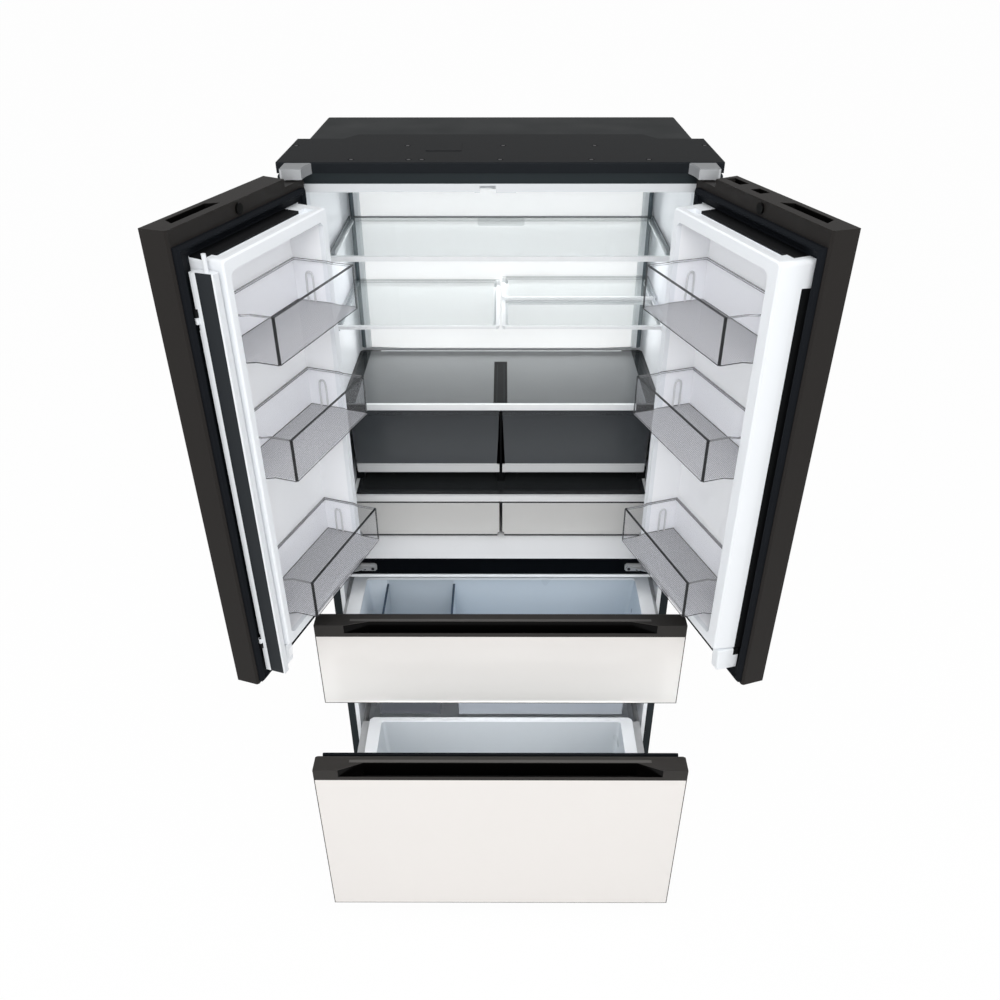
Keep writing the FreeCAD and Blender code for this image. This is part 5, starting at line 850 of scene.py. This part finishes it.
class CrisperOperator(Operator):
    """Finishes the crispers, the pantry drawers and their runners"""

    bl_idname = "refrigerator.crispers"
    bl_label = "Crispers"

    def execute(self, context):
        dress(self.crisper(), "left_crisper", "right_crisper")
        dress(self.pantry(), "left_pantry_drawer", "right_pantry_drawer")
        dress(grained("runner_plastic", colors().runner_dark_and_gap_shade, 0.45), "drawer_runners")
        return {"FINISHED"}

    def pantry(self):
        """White plastic, painted black as shade in the gaps at the top, the foot and the meeting sides of the
        fronts.
        """
        pantry = moulded("pantry_plastic", colors().pantry, 0.36)
        across, depth, height = pantry.across_depth_height()
        edges = any_of([abs(across) < PANTRY_GAP_HALF, height > PANTRY_TOP, height < PANTRY_FOOT])
        # Painted shade in the gaps round the pantry fronts
        pantry.overlay(edges * (depth < PANTRY_FRONT), colors().runner_dark_and_gap_shade)
        return pantry

    def crisper(self):
        """Smoked plastic that pales downwards as a painted reflection, with a bright metal strip along the foot of
        its front.
        """
        smoked = clear_plastic("crisper_smoked", colors().smoked, 0.12)
        _, depth, height = smoked.across_depth_height()
        strip = (depth < CRISPER_FRONT) * (height < CRISPER_STRIP_TOP)
        # Painted reflection: paler towards the foot of the front, fading out a sixth of a metre above the strip
        rise = ((height - CRISPER_STRIP_TOP) * 6.0).most(0.0).least(1.0)
        smoked.paint(smoked.tint(1 - rise, colors().smoked_foot_reflection))
        smoked.overlay(strip, darker(colors().shelf_trim, 0.86))
        share = 0.55 + 0.3 * smoked.slant() ** 2.0 + strip
        smoked.see_through(share.least(1.0), colors().smoked_clear)
        return smoked


class DoorOperator(Operator):
    """Finishes the doors' frames, panes, liners and gaskets"""

    bl_idname = "refrigerator.doors"
    bl_label = "Doors"

    def execute(self, context):
        dress(self.frame(), "left_door_frame", "right_door_frame")
        dress(self.pane(), "left_door_glass", "right_door_glass", "upper_drawer_panel", "lower_drawer_panel")
        rubber = cast_rubber("gasket_rubber", colors().gasket)
        dress(rubber, "left_door_gasket", "right_door_gasket", "upper_drawer_gasket", "lower_drawer_gasket")
        for side, free_side in RIM_FREE_SIDE.items():
            door = DoorPlace(side)
            liner = self.liner(door, free_side)
            dress(liner, side + "_door_liner")
            self.skirt(door, free_side + 0.0005, rubber)
            self.foot(door, free_side, liner)
        return {"FINISHED"}

    def frame(self):
        """Satin plastic, painted near black as shade inside the handle slots and pockets of its top edge."""
        plastic = grained("door_frame_plastic", colors().door_frame, 0.42, 0.00008)
        below_top = plastic.height().near(*FRAME_TOP_BAND)
        pockets = []
        for side in ("left", "right"):
            u, v = DoorPlace(side).measured(plastic)
            pockets += [below_top * u.near(*u_band) * v.near(*v_band) for u_band, v_band in FRAME_POCKETS]
        # Painted shade: the slots and pockets near black
        plastic.paint(plastic.tint(any_of(pockets), colors().recess))
        return plastic

    def pane(self):
        """Glossy pane, painted lighter towards the upper drawer's foot as painted light, and dark at both drawers'
        ends.
        """
        pane = Finish("front_pane", colors().front, 0.12, Specular_IOR_Level=0.35, Coat_Roughness=0.03,
                      Coat_Weight=0.25)
        pane.raise_surface(pane.grain(0.25, 1.0), 0.0004, 0.08)
        height = pane.height()
        low = (UPPER_PANEL_TOP - height) * height.between(UPPER_PANEL_FOOT, UPPER_PANEL_TOP)
        ends = (abs(pane.normal_axes()[0]) > FLAT) * (height < UPPER_PANEL_TOP)
        pane.paint(pane.clouds(pane.grain(0.3) * 0.4, 0.985))
        # Painted light towards the foot of the upper drawer's pane
        pane.overlay((low * 5.0).least(1.0), colors().front_foot_light)
        pane.overlay(ends, colors().door_frame)
        pane.set("Roughness", 0.10 + 0.05 * pane.grain(0.02, 3.0))
        return pane

    def liner(self, door, free_side):
        """White plastic whose raised rim is wrapped in black rubber outside, except at its corners; the hollows of
        the liner are painted lighter as painted light.
        """
        liner = moulded(door.body + "_liner_plastic", colors().liner, 0.34, gloss=0.15)
        u, v = door.measured(liner)
        height = liner.height()
        top = (height > RUBBER_TOP) * u.near(*RUBBER_TOP_U_BAND) * (v < RUBBER_TOP_V)
        side = (u > free_side - RUBBER_SIDE_WIDTH) * height.near(*RUBBER_SIDE_BAND) * (v < RUBBER_SIDE_V)
        black = top.most(side)
        hollow_light = (v < HOLLOW_V) * u.near(*HOLLOW_U_BAND) * height.near(*HOLLOW_BAND)
        # Painted light: the hollows lightened
        liner.overlay(hollow_light, colors().bright_liner)
        liner.overlay(black, darker(colors().gasket, 0.5))
        liner.set("Roughness", 0.3 + 0.3 * black)
        liner.set("Coat Weight", 0.1 - 0.1 * black)
        return liner

    def skirt(self, door, free_side, rubber):
        """Rubber web from the gasket's crest down to the foot of the raised liner."""
        inner = rectangle(0.0115, free_side, 0.9395, 1.7975)
        outer = rectangle(-0.006, 0.4125, 0.8695, 1.8095)

        def corner(near, far):
            return lambda inward, rise: door.at(far[0] + (near[0] - far[0]) * inward, SKIRT_V + rise,
                                                far[1] + (near[1] - far[1]) * inward)

        profile = ((0.0, 0.0004), (0.0, 0.0085), (0.35, 0.0055), (0.7, 0.0025), (1.0, 0.0018), (1.0, 0.0004))
        swept_band(door.body + "_gasket_skirt", profile, [corner(*pair) for pair in zip(inner, outer)],
                   rubber, door.body)

    def foot(self, door, free_side, liner):
        """White foot of the liner's rim at the door's free lower corner."""
        solid = bmesh.new()
        corners = []
        for height, shrink in ((0.886, 0.003), (0.9415, 0.0)):
            for u, v in ((free_side - 0.030, 0.034), (free_side - 0.002, 0.034),
                         (free_side - 0.005, 0.085 - shrink), (free_side - 0.030, 0.085 - shrink)):
                corners.append(solid.verts.new(door.at(u, v, height)))
        for face in ((0, 1, 2, 3), (4, 5, 6, 7), (0, 1, 5, 4), (1, 2, 6, 5), (2, 3, 7, 6), (3, 0, 4, 7)):
            solid.faces.new([corners[k] for k in face])
        bmesh.ops.recalc_face_normals(solid, faces=solid.faces)
        bmesh.ops.bevel(solid, geom=list(solid.edges), offset=0.003, segments=3, profile=0.5, affect="EDGES")
        mesh = bpy.data.meshes.new(door.body + "_liner_foot")
        solid.to_mesh(mesh)
        solid.free()
        new_piece(door.body + "_liner_foot", mesh, liner, door.body)


class DoorBinOperator(Operator):
    """Finishes the clear bins on the doors, and adds their clips"""

    bl_idname = "refrigerator.door_bins"
    bl_label = "Door bins"

    def execute(self, context):
        for side in ("left", "right"):
            door = DoorPlace(side)
            dress(self.clear_bin(side + "_bin_clear", door), side + "_door_bins")
            self.clips(side, door)
        return {"FINISHED"}

    def clear_bin(self, name, door):
        """Clear plastic with finely dotted floors, dark rims, and dark lines at its corners and feet."""
        finish = Finish(name, colors().clear, 0.05, Specular_IOR_Level=0.35)
        height = finish.height()
        u, v = door.measured(finish)
        level = finish.level()
        low = any_of([height.near(floor + 0.0015, 0.003) for floor in BIN_FLOORS])
        floor = level * low
        rim = level * (1 - low)
        front_rim = rim * (v > BIN_FRONT - BIN_RIM_WIDTH)
        corner = any_of([u.near(a, CORNER_LINE) * v.near(b, CORNER_LINE) for a, b in BIN_CORNERS])
        foot = any_of([height.near(floor_height, FOOT_LINE) for floor_height in BIN_FLOORS]) * (1 - level)
        lines = any_of([front_rim, rim * 0.8, corner * (1 - level), foot])
        pitch = math.tau / sizes().dots
        dots = ((u + v) * pitch).sine() * ((u - v) * pitch).sine()
        dark, pale = linear(darker(colors().bin_floor, 0.55)), linear(colors().bin_floor)
        finish.overlay(floor, finish.mix((dots * 0.5 + 0.5) ** 2.0, dark, pale))
        finish.overlay(lines, colors().bin_line)
        finish.raise_surface(dots * floor, 0.0007, 0.8)
        finish.set("Roughness", 0.05 + 0.22 * floor + 0.03 * finish.grain(0.03))
        share = 0.015 + 0.06 * finish.slant() ** 3.0 + floor * (0.46 + 0.2 * dots) + lines * 0.97
        finish.see_through(share.least(0.98), colors().bin_clear)
        return finish

    def clips(self, side, door):
        """A clear U at the hinge side of each bin."""
        clear = Finish(side + "_clip_clear", (1.0, 1.0, 1.0), 0.08, Specular_IOR_Level=0.6)
        clear.set("Roughness", 0.06 + 0.05 * clear.grain(0.01))
        clear.see_through((0.55 + 0.4 * clear.slant(0.5) ** 2.0).least(0.95), colors().clip_clear)
        for number, floor in enumerate(BIN_FLOORS):
            low, high = floor - 0.006, floor + 0.05
            middle = (low + high) / 2
            points = [door.at(CLIP_U, v, height) for v, height in (
                (0.044, low), (0.044, middle), (0.044, high), (0.046, high + 0.012), (0.052, high + 0.014),
                (0.058, high + 0.012), (0.060, high), (0.060, middle), (0.060, low))]
            bent_rod(side + "_bin_clip_" + str(number + 1), points, CLIP_RADIUS, clear, door.body)


class MullionOperator(Operator):
    """Finishes the folding mullion between the doors"""

    bl_idname = "refrigerator.mullion"
    bl_label = "Folding mullion"

    def execute(self, context):
        dress(moulded("mullion_plastic", darker(colors().liner, 0.97)), "mullion_body")
        plate = painted_steel("mullion_paint", colors().mullion_steel, 0.38, 0.16)
        _, v = DoorPlace("left").measured(plate)
        plate.overlay(v < MULLION_EDGE_V, colors().liner)
        dress(plate, "mullion_plate")
        return {"FINISHED"}


class DrawerOperator(Operator):
    """Finishes the freezer drawers, their bins, trays and slides"""

    bl_idname = "refrigerator.drawers"
    bl_label = "Freezer drawers"

    def execute(self, context):
        for name in ("upper", "lower"):
            dress(self.handle(name), name + "_drawer_front")
            dress(self.bin(name), name + "_drawer_bin")
        dress(self.tray("tray_smoked", "left", 0.6, 0.12), "left_freezer_tray")
        dress(self.tray("tray_clear", "right", 0.5, 0.1), "right_freezer_tray")
        dress(plated("slide_steel", colors().plated, 0.3, (1, 0.1, 1)), "slide_channels",
              "upper_drawer_slides", "upper_slide_members", "lower_drawer_slides", "lower_slide_members")
        return {"FINISHED"}

    def handle(self, name):
        """Satin bar with a painted highlight along the top of its lip, and a finger recess that is glossier and
        painted near black as shade.
        """
        front, recess_depth, top = HANDLES[name]
        bar = grained(name + "_handle_plastic", colors().handle, 0.38, 0.00006)
        across, depth, height = bar.across_depth_height()
        behind = depth - front
        recess = (height < top - 0.002) * behind.between(0.0012, recess_depth + 0.002)
        recess = recess * (abs(across) < HANDLE_HALF)
        upward = bar.normal_axes()[2] > FLAT
        # Painted highlight along the top of the lip, beside the recess
        lit_edge = upward * behind.near(recess_depth + 0.004, 0.0042) * (abs(across) < LIT_EDGE_HALF)
        bar.paint(bar.tint(lit_edge * (1 - recess) * 0.7, colors().handle_highlight))
        # Painted shade: the finger recess near black
        bar.overlay(recess, colors().recess)
        bar.set("Roughness", 0.42 - 0.2 * recess)
        return bar

    def bin(self, name):
        """Frosted plastic with a paler flange, and dark top edges on its dividing walls."""
        plastic = getattr(colors(), name + "_bin")
        rim = BIN_RIMS[name]
        tub = moulded(name + "_bin_plastic", plastic, 0.3, 0.1)
        across, _, height = tub.across_depth_height()
        below_rim = height < rim - 0.004
        flange = height.near(rim, 0.006) * (1 - abs(tub.normal_axes()[0]) * below_rim)
        walls = across.near(*BIN_WALL_BANDS[0]).most(across.near(*BIN_WALL_BANDS[1]))
        walls = walls * tub.level() * below_rim * (height > rim - 0.05)
        tub.paint(tub.clouds(tub.grain(0.12) * 0.4, 0.95))
        if name == "upper":
            inside = height < rim - 0.006
            tub.overlay(across.near(*ICE_BAND) * inside, darker(plastic, 0.92))
            tub.overlay((across < ICE_SIDE) * inside, colors().ice_side)
        tub.overlay(flange, colors().bin_flange)
        tub.overlay(walls, colors().bin_wall)
        return tub

    def tray(self, name, side, face, roughness):
        """See-through plastic with a darker rim."""
        plastic, clear, rim_color = (getattr(colors(), side + end) for end in ("_tray", "_tray_clear", "_tray_rim"))
        tray = clear_plastic(name, plastic, roughness)
        rim = tray.level() * tray.height().near(*TRAY_RIM_BAND)
        tray.paint(tray.clouds(tray.grain(0.09) * 0.3, 0.9))
        tray.overlay(rim, rim_color)
        tray.see_through((face + 0.3 * tray.slant() ** 2.0 + rim).least(0.97), clear)
        return tray


class CoolingOperator(Operator):
    """Finishes the evaporator, the fans, the compressor and the condenser"""

    bl_idname = "refrigerator.cooling"
    bl_label = "Cooling machinery"

    def execute(self, context):
        dress(plated("coil_aluminium", colors().coil, 0.32), "evaporator", "condenser")
        dress(moulded("evaporator_cover_plastic", darker(colors().liner, 0.97), 0.4), "evaporator_cover")
        dress(painted_steel("compressor_paint", colors().compressor, 0.25), "compressor")
        dress(grained("fan_plastic", colors().fan, 0.45), "evaporator_fan", "condenser_fan")
        return {"FINISHED"}


class FeetOperator(Operator):
    """Finishes the levelling feet and the rear rollers"""

    bl_idname = "refrigerator.feet"
    bl_label = "Feet and rollers"

    def execute(self, context):
        dress(grained("foot_plastic", colors().foot, 0.5), "leveling_feet", "rear_rollers")
        return {"FINISHED"}


PIECES = (CabinetOperator, LinerOperator, CoverOperator, LitPanelOperator, ShelfOperator, CrisperOperator,
          DoorOperator, DoorBinOperator, MullionOperator, DrawerOperator, CoolingOperator, FeetOperator)


class RefrigeratorPanel(Panel):
    """Lists the steps that dress the refrigerator"""

    bl_idname = "VIEW3D_PT_refrigerator"
    bl_label = "Refrigerator"
    bl_space_type = "VIEW_3D"
    bl_region_type = "UI"
    bl_category = "Refrigerator"

    def draw(self, context):
        layout = self.layout
        for step in (StageOperator, *PIECES):
            layout.operator(step.bl_idname)
        for group in (colors(), sizes()):
            column = layout.column()
            for name in group.bl_rna.properties.keys():
                if name not in ("rna_type", "name"):
                    column.prop(group, name)


CLASSES = (RefrigeratorColors, RefrigeratorSizes, StageOperator, *PIECES, RefrigeratorPanel)


def register():
    for item in CLASSES:
        bpy.utils.register_class(item)
    bpy.types.Scene.refrigerator_colors = PointerProperty(type=RefrigeratorColors)
    bpy.types.Scene.refrigerator_sizes = PointerProperty(type=RefrigeratorSizes)


def unregister():
    del bpy.types.Scene.refrigerator_sizes
    del bpy.types.Scene.refrigerator_colors
    for item in reversed(CLASSES):
        bpy.utils.unregister_class(item)


def main():
    register()
    bpy.ops.refrigerator.stage()
    for step in PIECES:
        family, name = step.bl_idname.split(".")
        getattr(getattr(bpy.ops, family), name)()
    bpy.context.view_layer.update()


if __name__ == "__main__":
    main()
